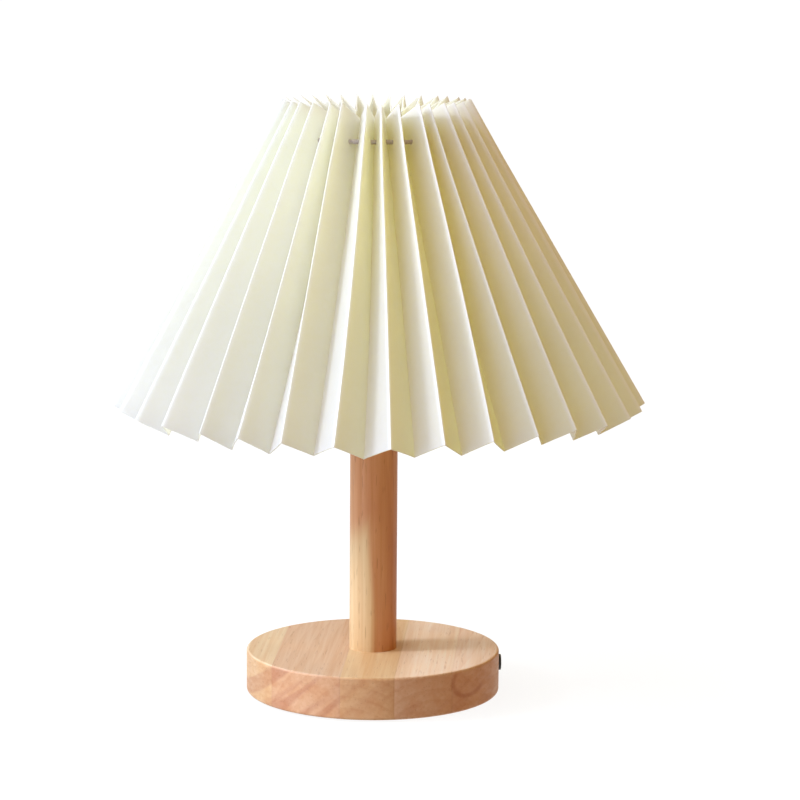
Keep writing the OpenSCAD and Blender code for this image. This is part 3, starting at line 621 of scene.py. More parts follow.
def shade_film_finish():
    """Cream translucent film, whiter on its folds, with painted light and shade."""
    material, tree, shader = new_finish("shade_film", Roughness=0.46, Specular_IOR_Level=0.30)
    place = own_place(tree)
    across, along, height = split(place)
    clouding = cloud(place, 55, 3.0, 0.6)
    fibres = cloud(place, 420, roughness=0.7)
    fold = pattern(tree, "Attribute", "Fac", attribute_name="fold")
    # Painted shade: the skin is darker towards the lower edge
    shaded_low_skin = mottled(clouding, tone(238, 240, 240), tone(236, 238, 239))
    unshaded_skin = mottled(clouding, tone(251, 251, 253), tone(249, 249, 252))
    skin = blend_colour(spread(height, *SKIN_SHADE_FADES), shaded_low_skin, unshaded_skin)
    # The outer folds are whiter: the film's own whitening where it is creased, and a painted highlight
    skin = blend_colour(fold * 0.8, skin, tone(252, 253, 253))
    # Painted shade: the light that passes is yellower on the side away from the window, most at the front
    # right
    turn = across / distance_from_axis(across, along)
    painted_shade_share = spread(turn, -0.6, 0.8) * spread(turn, 0.5, 1.0, 1.0, 0.5)
    window_side_passing = mottled(fibres, tone(254, 253, 240), tone(253, 252, 232))
    shaded_side_passing = mottled(fibres, tone(254, 249, 176), tone(253, 247, 168))
    passing = blend_colour(painted_shade_share, window_side_passing, shaded_side_passing)
    # Painted light: near the upper edge the light that passes is almost white
    passing = blend_colour(spread(height, *TOP_PAINTED_LIGHT), passing, tone(254, 253, 238))
    normal = relief(clouding + fibres, 0.00005, 0.5)
    dress(shader, Base_Color=skin, Normal=normal)
    # Light that is already inside the film leaves it; a fold lets less light in
    inside = pattern(tree, "NewGeometry", "Backfacing")
    share = fold * FOLD_PASS + spread(height, *MORE_PASSES, LOW_PASS, HIGH_PASS)
    let_light_through(shader, reckon("MAXIMUM", share, inside), passing, Normal=normal)
    return material


shade_film = shade_film_finish()
print("film passes a share of", LOW_PASS, "below and", HIGH_PASS, "above")

# %% [markdown]
# New pieces are made from a list of points and a list of faces, together called a form here. One helper
# turns a form into an object, smooths it except at sharp edges, gives it its finish, ties it to the body
# it moves with and names the solid that it stands for. A finish has the name of its slot in the record.

# %% Helpers for pieces
def make_piece(name, form, finish, body, stands_for, sharp=35.0):
    """One new piece of the lamp, in the place of one solid."""
    points, faces = form
    mesh = bpy.data.meshes.new(name)
    mesh.from_pydata([tuple(float(v) for v in point) for point in points], [], faces)
    mesh.update()
    mesh.shade_smooth()
    mesh.set_sharp_from_angle(angle=math.radians(sharp))
    mesh.materials.append(finish)
    piece = bpy.data.objects.new(name, mesh)
    scene.collection.objects.link(piece)
    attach(piece, body)
    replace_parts(piece, stands_for)
    return piece


def joined(*forms):
    """Several forms as one."""
    points, faces = [], []
    for form_points, form_faces in forms:
        first = len(points)
        points += form_points
        faces += [tuple(first + corner for corner in face) for face in form_faces]
    return points, faces


def strip(low, high, count):
    """Faces between two rings of points, which start at low and high."""
    return [(low + k, low + (k + 1) % count, high + (k + 1) % count, high + k) for k in range(count)]


print("piece helpers ready")

# %% [markdown]
# The pleated shade takes the most skill. It is one film folded into 34 pleats: at each level a zigzag runs
# round the cone, with outer folds on the slope and inner folds square below it. A plain cone with a
# bump would lose the outline, so the film is built as a closed skin 0.5 mm thick. On a real shade no two
# pleats are equal, so each fold drifts by a degree or two, and the lower edge has small steps.

# %% Folds of the shade
PLEATS = 34
LOW_R, HIGH_R, SHADE_H = 124.6 * MM, 43.9 * MM, 141.0 * MM
SHADE_LOW_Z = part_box("pleated_shade")[1].z - SHADE_H
PLEAT_LOW, PLEAT_HIGH = 12.5 * MM, 15.0 * MM
FIRST_FOLD = -87.3
SLANT = math.hypot(LOW_R - HIGH_R, SHADE_H)
slope_cos, slope_sin = SHADE_H / SLANT, (LOW_R - HIGH_R) / SLANT

# Degrees by which each fold drifts below and above; the folds at the front have their own
pleat_chance = random.Random(34)
low_drift = [pleat_chance.uniform(-0.6, 0.6) for k in range(PLEATS)]
high_drift = [pleat_chance.uniform(-1.5, 1.5) for k in range(PLEATS)]
for fold, drift in zip(range(-4, 5), (1.1, 0.1, -0.8, -0.5, 0.1, 0.35, 0.1, 0.1, 0.0)):
    low_drift[fold % PLEATS] = drift
for fold, drift in zip(range(-3, 5), (1.7, -1.4, 3.0, 0.9, 0.8, 2.9, -0.7, 0.4)):
    high_drift[fold % PLEATS] = drift

# Millimetres by which the lower edge hangs down at each outer and inner fold, again with the front's
# own, and the power by which these steps fade upwards
edge_drops = [pleat_chance.uniform(-0.4, 0.4) for k in range(2 * PLEATS)]
front_drops = (0.0, 1.4, 0.0, 1.35, 0.5, 0.95, 1.0, 1.6, 1.5, 0.95, 0.25, 0.85, -0.2, 0.4, -0.8, -0.5, -1.0)
for fold, drop in zip(range(-8, 9), front_drops):
    edge_drops[fold % (2 * PLEATS)] = drop
EDGE_FADE = 6


def on_slope(level, inward):
    """Radius and height of a point on the slope, or square below it by inward."""
    radius = LOW_R + (HIGH_R - LOW_R) * level - inward * slope_cos
    height = SHADE_LOW_Z + SHADE_H * level - inward * slope_sin
    return radius, height


def fold_angles(level):
    """Angles of all folds at one level: outer folds at even places, inner folds between them."""
    outer = np.array([
        FIRST_FOLD + 360.0 / PLEATS * k + low_drift[k] * (1 - level) + high_drift[k] * level
        for k in range(PLEATS)
    ])
    following = np.roll(outer, -1)
    following[-1] += 360.0
    angles = np.empty(2 * PLEATS)
    angles[0::2] = outer
    angles[1::2] = (outer + following) / 2
    return np.radians(angles)


def fold_middles(level):
    """Middle of the film at every fold of one level."""
    angles = fold_angles(level)
    middles = np.empty((2 * PLEATS, 3))
    for k, angle in enumerate(angles):
        lowered = level - edge_drops[k] * MM / SHADE_H * (1.0 - level) ** EDGE_FADE
        depth = PLEAT_LOW + (PLEAT_HIGH - PLEAT_LOW) * lowered
        radius, height = on_slope(lowered, depth if k % 2 else 0.0)
        middles[k] = radius * math.cos(angle), radius * math.sin(angle), height
    return middles, angles


print("slope of the shade", round(math.degrees(math.asin(slope_sin)), 2), "degrees")

# %% [markdown]
# Stiff film doesn't crease to a knife edge, and its panels are not quite flat. A bevel modifier would
# round both sides of a fold alike, so the points are placed one by one. At each level the outside and the
# inside of the film are two rings of points, 14 to a pleat. An outer fold takes a round of five points
# on its outside and one corner on its inside, and an inner fold the other way about. Each panel has four
# points between its folds, and bows a little.

# %% Levels of the film
FILM_HALF = 0.25 * MM
ROUND_POINTS = 5
PLEAT_POINTS = 14
PANEL_NEAR = 2.0 * MM
BOW_LOSS = 0.7

bows = [pleat_chance.uniform(-0.45, 0.45) * MM for k in range(2 * PLEATS)]


def turn_between(first, second):
    """Directions on the arc from one direction to another, one for each point of a round."""
    gap = math.acos(max(-1.0, min(1.0, float(np.dot(first, second)))))
    shares = [k / (ROUND_POINTS - 1) for k in range(ROUND_POINTS)]
    return [
        (math.sin((1 - s) * gap) * first + math.sin(s * gap) * second) / math.sin(gap)
        for s in shares
    ]


def panel_directions(middles, angles):
    """For each panel of one level: the way along it, the way out of it, and its length."""
    ways, normals, lengths = [], [], []
    for k, angle in enumerate(angles):
        way = middles[(k + 1) % len(middles)] - middles[k]
        lengths.append(np.linalg.norm(way))
        ways.append(way / lengths[k])
        turn = angle + math.pi / len(middles)
        up = np.array([-slope_sin * math.cos(turn), -slope_sin * math.sin(turn), slope_cos])
        normal = np.cross(ways[k], up)
        normals.append(normal / np.linalg.norm(normal))
    return ways, normals, lengths


def film_level(level):
    """The outside and inside points of the film at one level."""
    middles, angles = fold_middles(level)
    ways, normals, lengths = panel_directions(middles, angles)
    outside, inside = [], []
    for k, middle in enumerate(middles):
        before, after = normals[k - 1], normals[k]
        both = before + after
        corner = 2 * FILM_HALF * both / np.dot(both, both)
        if k % 2 == 0:
            outside += [middle + FILM_HALF * d for d in turn_between(before, after)]
            inside.append(middle - corner)
        else:
            outside.append(middle + corner)
            inside += [middle - FILM_HALF * d for d in turn_between(before, after)]
        bow = bows[k] * (1.0 - BOW_LOSS * level)
        near = PANEL_NEAR / lengths[k]
        for share in (near, 1 / 3, 2 / 3, 1 - near):
            on_panel = middle + ways[k] * lengths[k] * share
            on_panel = on_panel + after * bow * math.sin(math.pi * share)
            outside.append(on_panel + after * FILM_HALF)
            inside.append(on_panel - after * FILM_HALF)
    return outside, inside


print("panels bow by up to", round(max(bows) / MM, 2), "mm")

# %% [markdown]
# Faces join each level to the next one. The lower and upper edge join the outside to the inside, so the
# film is closed and has a real thickness. Each point also keeps a mark that says whether it is on an
# outer fold, because the film is whiter there: partly its own whitening at the crease, partly a painted
# highlight. A real shade hangs loose on its ring, so its lower edge lies a little to the right.

# %% Film of the shade
LEVELS = 26
HANG = 2.2 * MM
RING_HEIGHT = 0.256
FILM_SHARP = 50.0

ring_points = PLEAT_POINTS * PLEATS
points = []
for step in range(LEVELS + 1):
    outside, inside = film_level(step / LEVELS)
    points += outside + inside
points = np.array(points)
points[:, 0] += HANG * np.clip((RING_HEIGHT - points[:, 2]) / (RING_HEIGHT - SHADE_LOW_Z), 0, 1)

faces = []
for step in range(LEVELS):
    outer_start = 2 * step * ring_points
    inner_start = outer_start + ring_points
    faces += strip(outer_start, outer_start + 2 * ring_points, ring_points)
    faces += [face[::-1] for face in strip(inner_start, inner_start + 2 * ring_points, ring_points)]

# Corners of the edge's faces in one pleat, outside and inside: the round of the outer fold, the first
# panel, the round of the inner fold, the second panel
edge_corners = [((k, k + 1), (0,)) for k in range(0, 4)]
edge_corners += [((k, k + 1), (k - 3, k - 4)) for k in range(4, 9)]
edge_corners += [((9,), (k + 1, k)) for k in range(5, 9)]
edge_corners += [((k, k + 1), (k + 1, k)) for k in range(9, 14)]
for step in (0, LEVELS):
    outer_start = 2 * step * ring_points
    inner_start = outer_start + ring_points
    for pleat_start in range(0, ring_points, PLEAT_POINTS):
        for outer_corners, inner_corners in edge_corners:
            face = [outer_start + (pleat_start + corner) % ring_points for corner in outer_corners]
            face += [inner_start + (pleat_start + corner) % ring_points for corner in inner_corners]
            faces.append(face if step else face[::-1])

film_shade = make_piece("film_shade", (points, faces), shade_film, "shade", "pleated_shade", FILM_SHARP)
outside_marks = [1.0] * ROUND_POINTS + [0.0] * (PLEAT_POINTS - ROUND_POINTS)
inside_marks = [1.0] + [0.0] * (PLEAT_POINTS - 1)
level_marks = outside_marks * PLEATS + inside_marks * PLEATS
fold_mark = film_shade.data.attributes.new("fold", "FLOAT", "POINT")
fold_mark.data.foreach_set("value", np.array(level_marks * (LEVELS + 1), np.float32))
print("film:", len(points), "points,", len(faces), "faces")

# %% [markdown]
# The draw cord runs round the shade inside its folds, through a hole in every panel. Punching 68 holes
# one by one would be slow, so a thin ring is taken away from the film: where it crosses a panel, it
# leaves a round hole. The ring is a small circle turned round the lamp's axis, and the same helper makes
# the turned pieces later. An outline runs counter-clockwise, with the axis at its left.

# %% Holes for the draw cord
CORD_RING_R = 42.36 * MM
CORD_HEIGHT = 263.98 * MM
HOLE_R = 1.4 * MM
HOLE_SIDES = 16
RING_SIDES = 136


def turned(outline, sides, pitch=0.0):
    """Turns a closed outline round the lamp's axis. Its points are (radius, height, thread depth)."""
    turned_points, turned_faces = [], []
    count = len(outline)
    for k in range(sides):
        a = 2 * math.pi * k / sides
        for radius, height, depth in outline:
            if depth:
                # The wave rises by one pitch in each turn
                radius -= depth * (0.5 - 0.5 * math.cos(2 * math.pi * height / pitch - a))
            turned_points.append((radius * math.cos(a), radius * math.sin(a), height))
        here, there = k * count, (k + 1) % sides * count
        turned_faces += [
            (here + s, there + s, there + (s + 1) % count, here + (s + 1) % count) for s in range(count)
        ]
    return turned_points, turned_faces


def cut_away(piece, form):
    """Takes a closed form away from a piece and keeps the result in the piece's mesh."""
    cutter_mesh = bpy.data.meshes.new("cutter")
    cutter_mesh.from_pydata(form[0], [], form[1])
    cutter = bpy.data.objects.new("cutter", cutter_mesh)
    scene.collection.objects.link(cutter)
    cut = piece.modifiers.new("cut", "BOOLEAN")
    cut.operation = "DIFFERENCE"
    cut.solver = "MANIFOLD"
    cut.object = cutter
    bpy.context.view_layer.update()
    shape = piece.evaluated_get(bpy.context.evaluated_depsgraph_get())
    new_mesh = bpy.data.meshes.new_from_object(shape)
    piece.modifiers.remove(cut)
    old_mesh = piece.data
    piece.data = new_mesh
    bpy.data.meshes.remove(old_mesh)
    bpy.data.objects.remove(cutter)
    bpy.data.meshes.remove(cutter_mesh)


before_cut = len(film_shade.data.vertices)
hole_turns = [2 * math.pi * k / HOLE_SIDES for k in range(HOLE_SIDES)]
hole_outline = [
    (CORD_RING_R + HOLE_R * math.cos(b), CORD_HEIGHT + HOLE_R * math.sin(b), 0.0) for b in hole_turns
]
cut_away(film_shade, turned(hole_outline, RING_SIDES))
film_shade.data.set_sharp_from_angle(angle=math.radians(FILM_SHARP))
print("holes punched:", before_cut, "points before,", len(film_shade.data.vertices), "after;",
      "fold mark kept:", "fold" in film_shade.data.attributes)

# %% [markdown]
# The cord is soft dyed yarn. Its finish is dull, with a little sheen at its edges and very fine fibres.
# Plain colour with a strong gloss would look like wire.

# %% Yarn finish
def cord_yarn_finish():
    """Dull dyed yarn with fine fibres."""
    material, tree, shader = new_finish(
        "cord_yarn", Roughness=0.85, Specular_IOR_Level=0.2, Sheen_Weight=0.35, Sheen_Roughness=0.5)
    place = own_place(tree)
    fibre = cloud(stretch(place, 2600, 2600, 2600), detail=3.0, roughness=0.7)
    colour = mottled(fibre, tone(228, 217, 208), tone(198, 186, 178), 0.3)
    colour = blend_colour(cloud(place, 160, 1.0) * 0.3, colour, tone(190, 174, 162))
    dress(shader, Base_Color=colour, Normal=relief(fibre, 0.00008, 0.9))
    return material


cord_yarn = cord_yarn_finish()
print("yarn:", len(cord_yarn.node_tree.nodes), "nodes")

# %% [markdown]
# The cord itself is a soft braid. A smooth ring with a bump would look like plastic tube up close, so eight
# fine strands run round its middle line, four each way, and pass over and under one another.

# %% Draw cord
CORD_R = 1.2 * MM
CORD_STEPS = 560
CORD_TWISTS = 36
YARN_SHARP = 80.0
STRAND_SIDES = 5
STRAND_SHARE, WEAVE_SHARE = 0.30, 0.45
DOME_SHARE = 0.7


def frames_along(path, closed):
    """Tangent and two cross directions at each point of a path, turned as little as possible."""
    path = np.array(path, float)
    if closed:
        tangents = np.roll(path, -1, axis=0) - np.roll(path, 1, axis=0)
    else:
        tangents = np.gradient(path, axis=0)
    tangents /= np.linalg.norm(tangents, axis=1)[:, None]
    side = np.cross(tangents[0], (0.0, 0.0, 1.0))
    if np.linalg.norm(side) < 0.1:
        side = np.cross(tangents[0], (1.0, 0.0, 0.0))
    sides, ups = [], []
    for tangent in tangents:
        side = side - np.dot(side, tangent) * tangent
        side = side / np.linalg.norm(side)
        sides.append(side)
        ups.append(np.cross(tangent, side))
    return path, tangents, sides, ups


def tube_round(path, thickness, closed):
    """A strand along a path; open ends are closed with a small dome."""
    path, tangents, across, up = frames_along(path, closed)
    count = len(path)
    strand_turns = [2 * math.pi * s / STRAND_SIDES for s in range(STRAND_SIDES)]
    tube_points = [
        path[k] + thickness * (math.cos(b) * across[k] + math.sin(b) * up[k])
        for k in range(count) for b in strand_turns
    ]
    tube_faces = []
    for k in range(count if closed else count - 1):
        tube_faces += strip(k * STRAND_SIDES, (k + 1) % count * STRAND_SIDES, STRAND_SIDES)
    if not closed:
        for k, sign in ((0, -1), (count - 1, 1)):
            tip = len(tube_points)
            tube_points.append(path[k] + sign * DOME_SHARE * thickness * tangents[k])
            for s in range(STRAND_SIDES):
                rim = (k * STRAND_SIDES + s, k * STRAND_SIDES + (s + 1) % STRAND_SIDES)
                tube_faces.append((*rim, tip) if sign > 0 else (*rim[::-1], tip))
    return tube_points, tube_faces


def braid(path, thickness, twists, closed):
    """Four strands each way round a middle line, over and under one another."""
    path, _, across, up = frames_along(path, closed)
    count = len(path)
    strand_r = thickness * STRAND_SHARE
    middle_r = thickness - (1 + WEAVE_SHARE) * strand_r
    strands = []
    for way, offset in ((1, 0.0), (-1, 0.5)):
        for strand in range(4):
            line = []
            for k in range(count):
                a = 2 * math.pi * twists * k / (count if closed else count - 1)
                weave = way * math.cos(4 * a + math.pi * strand)
                r = middle_r + WEAVE_SHARE * strand_r * weave
                b = math.pi / 2 * (strand + offset) + way * a
                line.append(path[k] + r * (math.cos(b) * across[k] + math.sin(b) * up[k]))
            strands.append(tube_round(line, strand_r, closed))
    return joined(*strands)


cord_turns = [2 * math.pi * k / CORD_STEPS for k in range(CORD_STEPS)]
cord_line = [(CORD_RING_R * math.cos(a), CORD_RING_R * math.sin(a), CORD_HEIGHT) for a in cord_turns]
cord_form = braid(cord_line, CORD_R, CORD_TWISTS, closed=True)
make_piece("braided_draw_cord", cord_form, cord_yarn, "shade_lifter", "draw_cord", YARN_SHARP)
print("draw cord:", len(cord_form[0]), "points in 8 strands")

# %% [markdown]
# At the back, inside one pleat, the cord's two ends are tied. A knot could be a lump with a bump, but its
# turns are what one knows it by. So it is the same braid wound round the cord, with two short tails that
# hang down and end in small sealed tips.

# %% Knot
KNOT_FOLD = round((90.0 - FIRST_FOLD) / (360.0 / PLEATS))
knot_turn = math.radians(FIRST_FOLD + 360.0 / PLEATS * KNOT_FOLD)
knot_out = Vector((math.cos(knot_turn), math.sin(knot_turn), 0.0))
knot_along = Vector((-math.sin(knot_turn), math.cos(knot_turn), 0.0))
knot_up = Vector((0.0, 0.0, 1.0))
knot_middle = knot_out * CORD_RING_R + knot_up * CORD_HEIGHT
WRAP_R, TAIL_R = 0.56 * MM, 0.74 * MM
WRAP_STEPS, TAIL_STEPS = 150, 40
WRAP_TWISTS, TAIL_TWISTS = 13, 3
# Turns of the yarn round the cord, then their radius, their width and how far a tail hangs, in mm
WRAP_TURNS, WRAP_LOOP, WRAP_WIDE, TAIL_DOWN = 3.25, 1.72, 3.1, 8.6


def by_knot(out, along, up):
    """A point given from the knot's middle, in millimetres."""
    return knot_middle + (knot_out * out + knot_along * along + knot_up * up) * MM


def wrap_point(share):
    """A point of the yarn that is wound round the cord."""
    a = 2 * math.pi * WRAP_TURNS * share + math.pi
    return by_knot(WRAP_LOOP * math.cos(a), WRAP_WIDE * (share - 0.5), WRAP_LOOP * math.sin(a))


def tail_point(share, side):
    """A point of one tail, from the knot down to its tip."""
    along = side * (1.15 + 0.5 * share + 0.35 * math.sin(3.0 * share))
    return by_knot(-1.0 - 0.35 * share, along, -0.9 - TAIL_DOWN * share)


wrap_line = [wrap_point(k / WRAP_STEPS) for k in range(WRAP_STEPS + 1)]
knot_forms = [braid(wrap_line, WRAP_R, WRAP_TWISTS, closed=False)]
for side in (-1, 1):
    tail_line = [tail_point(k / TAIL_STEPS, side) for k in range(TAIL_STEPS + 1)]
    knot_forms.append(braid(tail_line, TAIL_R, TAIL_TWISTS, closed=False))
make_piece("cord_end_knot", joined(*knot_forms), cord_yarn, "shade", "cord_knot", YARN_SHARP)
print("knot at", [round(v, 4) for v in knot_middle])

# %% [markdown]
# The screw thread of the lampholder and the bulb is what a smooth cylinder lacks most. A screw modifier
# would leave open ends to close by hand. So a thread here is a turned form whose radius also follows the
# turn: it rises by one pitch in each turn. These helpers make the walls that carry a thread, the plain
# corners between them and small rounds.

# %% Helpers for threaded outlines
POINTS_PER_PITCH = 10


def wall(radius, low, high, depth, pitch, run_in=1.0):
    """Points up a threaded wall; the thread fades in and out over run_in pitches."""
    count = max(2, round((high - low) / pitch * POINTS_PER_PITCH))
    line = []
    for k in range(count + 1):
        height = low + (high - low) * k / count
        fade = min(1.0, (height - low) / (run_in * pitch), (high - height) / (run_in * pitch))
        line.append((radius, height, depth * max(fade, 0.0)))
    return line


def plain(*corners):
    """Corners of an outline that carry no thread."""
    return [(radius, height, 0.0) for radius, height in corners]


def rounded(corners, size):
    """Cuts the corners of an outline of (radius, height) with small rounds."""
    line = []
    count = len(corners)
    for k in range(count):
        before, here, after = (np.array(corners[(k + j) % count], float) for j in (-1, 0, 1))
        back, on = before - here, after - here
        reach = min(size, 0.45 * np.linalg.norm(back), 0.45 * np.linalg.norm(on))
        start = here + back / np.linalg.norm(back) * reach
        end = here + on / np.linalg.norm(on) * reach
        line += [(1 - s) ** 2 * start + 2 * s * (1 - s) * here + s ** 2 * end for s in (0.0, 0.5, 1.0)]
    return plain(*line)


def ends(node):
    """Lowest and highest height of a node."""
    low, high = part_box(node)
    return low.z, high.z


print("outline helpers ready")

# %% [markdown]
# The lampholder's sleeve and the bulb's cap are drawn metal, one thin skin each, with the thread rolled
# into it, so both faces of the skin carry it. They use the same pitch and start, so they stay in step
# while the bulb turns out of the holder.

# %% Screw sleeve and screw cap
LAMP_PITCH, LAMP_THREAD = 3.6286 * MM, 0.80 * MM
LAMP_SIDES = 96
SCREW_SHARP = 45.0

# Sleeve of the lampholder, with a turned-in foot
sleeve_low, sleeve_high = ends("thread_sleeve")
SLEEVE_IN, SLEEVE_WALL, SLEEVE_HOLE = 13.35 * MM, 0.5 * MM, 9.0 * MM
SLEEVE_OUT = SLEEVE_IN + SLEEVE_WALL
SLEEVE_FOOT, SLEEVE_RIM = 3.2 * MM, 0.8 * MM
sleeve_thread = (sleeve_low + SLEEVE_FOOT, sleeve_high - SLEEVE_RIM, LAMP_THREAD, LAMP_PITCH)
sleeve_outline = (
    plain((SLEEVE_HOLE, sleeve_low), (SLEEVE_OUT, sleeve_low))
    + wall(SLEEVE_OUT, *sleeve_thread)
    + plain((SLEEVE_OUT, sleeve_high), (SLEEVE_IN, sleeve_high))
    + wall(SLEEVE_IN, *sleeve_thread)[::-1]
    + plain((SLEEVE_IN, sleeve_low + SLEEVE_WALL), (SLEEVE_HOLE, sleeve_low + SLEEVE_WALL))
)
sleeve_form = turned(sleeve_outline, LAMP_SIDES, LAMP_PITCH)
make_piece("screw_sleeve", sleeve_form, brass, "stand", "thread_sleeve", SCREW_SHARP)

# Cap of the bulb, with a rounded foot
cap_low, cap_high = ends("bulb_cap")
CAP_R, CAP_SKIN, CAP_HOLE = 13.05 * MM, 0.25 * MM, 10.05 * MM
CAP_FOOT, CAP_RIM, CAP_RUN_IN = 0.9 * MM, 2.2 * MM, 0.6
cap_thread = (cap_low + CAP_FOOT, cap_high - CAP_RIM, LAMP_THREAD, LAMP_PITCH, CAP_RUN_IN)
cap_outline = (
    plain((CAP_HOLE, cap_low), (CAP_R - 0.8 * MM, cap_low), (CAP_R - 0.2 * MM, cap_low + 0.3 * MM))
    + wall(CAP_R, *cap_thread)
    + plain((CAP_R, cap_high), (CAP_R - CAP_SKIN, cap_high))
    + wall(CAP_R - CAP_SKIN, *cap_thread)[::-1]
    + plain((CAP_HOLE, cap_low + CAP_SKIN))
)
cap_form = turned(cap_outline, LAMP_SIDES, LAMP_PITCH)
make_piece("bulb_screw_cap", cap_form, nickel, "bulb", "bulb_cap", SCREW_SHARP)
print("threads: sleeve", len(sleeve_outline), "points an outline, cap", len(cap_outline))

# %% [markdown]
# The bulb's housing is moulded plastic and flares from the screw cap to the globe. Its solid spigot would
# show through the thread's grooves, so the piece made here has a thinner one, and small rounds at its
# edges.

# %% Bulb housing
HOUSING_SIDES, HOUSING_ROUND = 128, 0.35 * MM
MIDDLE_R, SPIGOT_R, SPIGOT_STEP = 0.02 * MM, 11.6 * MM, 1.0 * MM
CAP_SEAT, CAP_SEAT_H, CAP_WALL = 0.3 * MM, 0.4 * MM, 0.6 * MM
COLLAR_OUT, COLLAR_H, RIM_H = 0.8 * MM, 3.0 * MM, 4.0 * MM
HOUSING_WALL, BOARD_FIT, BOARD_T = 1.6 * MM, 0.2 * MM, 1.6 * MM
housing_low, housing_high = ends("bulb_housing")
mouth_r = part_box("bulb_housing")[1].x
seat_r = mouth_r - HOUSING_WALL - BOARD_FIT
housing_corners = [
    (MIDDLE_R, housing_low), (SPIGOT_R, housing_low), (SPIGOT_R, cap_high - SPIGOT_STEP),
    (CAP_R - CAP_SEAT, cap_high - CAP_SEAT_H), (CAP_R - CAP_SEAT, cap_high),
    (CAP_R + CAP_WALL, cap_high), (CAP_R + COLLAR_OUT, cap_high + COLLAR_H),
    (mouth_r - HOUSING_WALL, housing_high - RIM_H), (mouth_r, housing_high),
    (seat_r, housing_high), (seat_r, housing_high - BOARD_T), (MIDDLE_R, housing_high - BOARD_T),
]
housing_form = turned(rounded(housing_corners, HOUSING_ROUND), HOUSING_SIDES)
make_piece("bulb_flared_housing", housing_form, white_plastic, "bulb", "bulb_housing")
print("housing:", len(housing_form[0]), "points")

# %% [markdown]
# The lampholder's skirt has a flange that carries the shade's frame, and above it the thread on which the
# shade ring runs. The thread on the real one is moulded with the skirt, so here it is part of the
# same outline.

# %% Lampholder skirt
SKIRT_SIDES = 128
SKIRT_R, SHELL, FLANGE_R, FLANGE_T = 19.5 * MM, 2.4 * MM, 22.5 * MM, 6.0 * MM
EASE, EASE_MIDDLE = 0.6 * MM, 0.18 * MM
LIP, LIP_EASE = 2.0 * MM, 0.4 * MM
MOUTH_R, MOUTH_EASE = SLEEVE_OUT + 0.02 * MM, 0.3 * MM
RING_PITCH, RING_THREAD, RING_RUN_IN = 2.5 * MM, 0.55 * MM, 0.5
ABOVE_FLANGE, BELOW_RIM = 1.6 * MM, 1.0 * MM
skirt_low, skirt_high = ends("holder_skirt")
flange_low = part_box("holder_cap")[1].z
flange_high = flange_low + FLANGE_T
skirt_outline = (
    plain(
        (SKIRT_R - SHELL, skirt_low), (SKIRT_R, skirt_low), (SKIRT_R, flange_low),
        (FLANGE_R - EASE, flange_low), (FLANGE_R - EASE_MIDDLE, flange_low + EASE_MIDDLE),
        (FLANGE_R, flange_low + EASE), (FLANGE_R, flange_high - EASE),
        (FLANGE_R - EASE_MIDDLE, flange_high - EASE_MIDDLE), (FLANGE_R - EASE, flange_high),
        (SKIRT_R, flange_high),
    )
    + wall(SKIRT_R, flange_high + ABOVE_FLANGE, skirt_high - BELOW_RIM,
           RING_THREAD, RING_PITCH, RING_RUN_IN)
    + plain(
        (SKIRT_R, skirt_high - LIP_EASE), (SKIRT_R - LIP_EASE, skirt_high),
        (SLEEVE_OUT + MOUTH_EASE, skirt_high), (MOUTH_R, skirt_high - MOUTH_EASE),
        (MOUTH_R, skirt_high - LIP), (SKIRT_R - SHELL, skirt_high - LIP),
    )
)
skirt_form = turned(skirt_outline, SKIRT_SIDES, RING_PITCH)
make_piece("holder_threaded_skirt", skirt_form, white_plastic, "stand", "holder_skirt")
print("skirt:", len(skirt_form[0]), "points")

# %% [markdown]
# The threaded tube clamps foot, stem and lampholder together. Only its two ends are ever seen, so only
# these carry the thread, and the middle stays a plain wall.

# %% Threaded tube
TUBE_SIDES, TUBE_SHARP = 48, 60.0
TUBE_R, TUBE_BORE_R, TUBE_PITCH, TUBE_THREAD = 5.0 * MM, 3.7 * MM, 1.0 * MM, 0.45 * MM
TUBE_EDGE, TUBE_EDGE_HIGH = 0.5 * MM, 0.3 * MM
LOW_THREAD, HIGH_THREAD = 11.0 * MM, 9.0 * MM
tube_low, tube_high = ends("lamp_tube")
tube_outline = (
    plain((TUBE_R - TUBE_EDGE, tube_low))
    + wall(TUBE_R, tube_low + TUBE_EDGE_HIGH, tube_low + LOW_THREAD, TUBE_THREAD, TUBE_PITCH)
    + wall(TUBE_R, tube_high - HIGH_THREAD, tube_high - TUBE_EDGE_HIGH, TUBE_THREAD, TUBE_PITCH)
    + plain((TUBE_R - TUBE_EDGE, tube_high), (TUBE_BORE_R, tube_high), (TUBE_BORE_R, tube_low))
)
tube_form = turned(tube_outline, TUBE_SIDES, TUBE_PITCH)
make_piece("threaded_lamp_tube", tube_form, zinc, "stand", "lamp_tube", TUBE_SHARP)
print("tube", round((tube_high - tube_low) / MM, 1), "mm long")

# %% [markdown]
# The screws under the foot are small plated ones. Their solids have plain heads; here each head gets a
# cross recess, or a slot for the block's screw. A recess is a small form taken away from a copy of the
# solid, at the middle of each screw that is found in it.

# %% Helpers for screw recesses
RECESS_BELOW, RECESS_MOUTH, RECESS_TIP = 0.3 * MM, 1.08, 0.45


def screw_middles(mesh):
    """Middle and lowest height of each separate screw in a mesh."""
    shape = bmesh.new()
    shape.from_mesh(mesh)
    left = set(shape.verts)
    found = []
    while left:
        group, edge = set(), [left.pop()]
        while edge:
            spot = edge.pop()
            group.add(spot)
            for line in spot.link_edges:
                other = line.other_vert(spot)
                if other in left:
                    left.discard(other)
                    edge.append(other)
        spots = np.array([spot.co[:] for spot in group])
        low, high = spots.min(0), spots.max(0)
        found.append(((low[0] + high[0]) / 2, (low[1] + high[1]) / 2, low[2]))
    shape.free()
    return sorted(found)


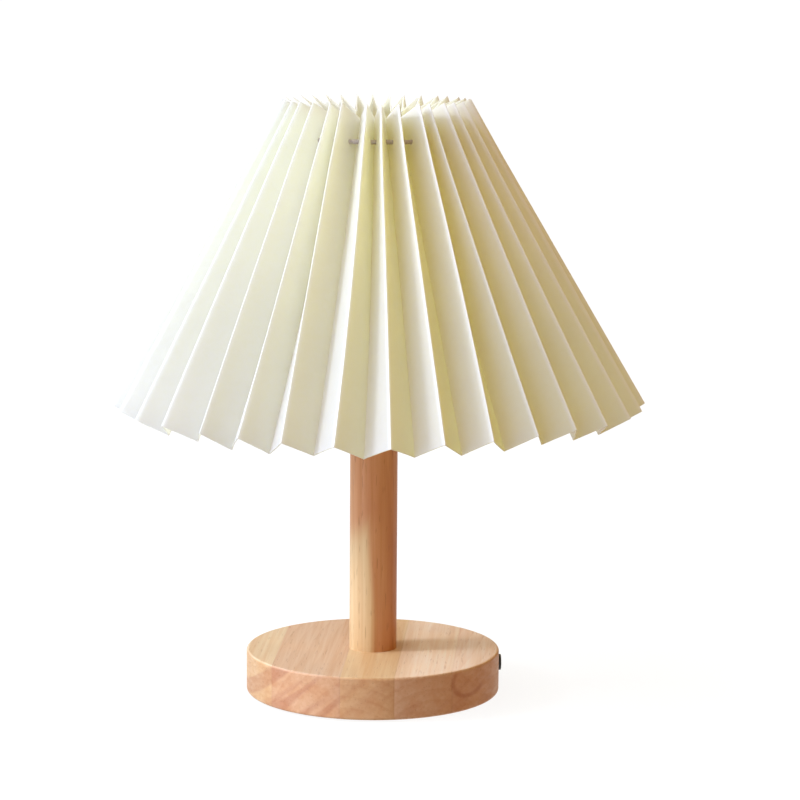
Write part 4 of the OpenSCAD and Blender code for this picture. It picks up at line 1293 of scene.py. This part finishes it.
def recess_form(middle, arm, half_long, half_wide, deep):
    """One tapered arm of a recess, pointing up into a head that faces down."""
    x, y, z = middle
    c, s = math.cos(arm), math.sin(arm)
    form_points = []
    for height, share in ((-RECESS_BELOW, RECESS_MOUTH), (deep, RECESS_TIP)):
        for u, v in ((-1, -1), (1, -1), (1, 1), (-1, 1)):
            du, dv = u * half_long * share, v * half_wide * (0.6 + 0.4 * share)
            form_points.append((x + du * c - dv * s, y + du * s + dv * c, z + height))
    form_faces = [(3, 2, 1, 0), (4, 5, 6, 7), (0, 1, 5, 4), (1, 2, 6, 5), (2, 3, 7, 6), (3, 0, 4, 7)]
    return form_points, form_faces


def solid_form(node):
    """The form of a solid, with the points merged that its faces share."""
    shape = bmesh.new()
    shape.from_mesh(frame["nodes"][node].data)
    bmesh.ops.remove_doubles(shape, verts=shape.verts, dist=1e-6)
    shape.verts.index_update()
    form = ([tuple(spot.co) for spot in shape.verts],
            [tuple(spot.index for spot in face.verts) for face in shape.faces])
    shape.free()
    return form


print("recess helpers ready")

# %% [markdown]
# Each row names a new piece, its solid and the recess: the turns of its arms, then half an arm's length,
# half its width and its depth in millimetres.

# %% Screws
CROSS, SLOT = (0.4, 0.4 + math.pi / 2), (0.3,)
HEAD_SHARP = 30.0
RECESSES = [
    ("cover_cross_screws", "cover_screws", CROSS, (1.5, 0.35, 1.3)),
    ("clamp_cross_screws", "clamp_screws", CROSS, (1.4, 0.35, 1.2)),
    ("block_slot_screw", "block_screw", SLOT, (3.2, 0.3, 0.6)),
]
for name, node, arms, sizes in RECESSES:
    screws = make_piece(name, solid_form(node), zinc, "stand", node)
    middles = screw_middles(screws.data)
    for middle in middles:
        for arm in arms:
            cut_away(screws, recess_form(middle, arm, *(size * MM for size in sizes)))
    screws.data.set_sharp_from_angle(angle=math.radians(HEAD_SHARP))
    print(name, "screws:", len(middles), "points:", len(screws.data.vertices))

# %% [markdown]
# The other solids already have the right form, so they stay and only get their finishes. The two leads
# are eight-sided in the frame; a subdivision modifier rounds their insulation without moving them.

# %% Finishes on the solids
finish_named = {finish.name: finish for finish in bpy.data.materials}
stood_for = {n for piece in scene.objects if "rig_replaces" in piece for n in piece["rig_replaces"]}
solids_kept = sorted(set(frame["nodes"]) - stood_for)
for node in solids_kept:
    solid = frame["nodes"][node]
    solid.data.materials.clear()
    solid.data.materials.append(finish_named[slot_of[node]])
for node in ("live_lead", "neutral_lead"):
    rounding = frame["nodes"][node].modifiers.new("rounding", "SUBSURF")
    rounding.levels = rounding.render_levels = 1
print("solids that keep their form:", ", ".join(solids_kept))
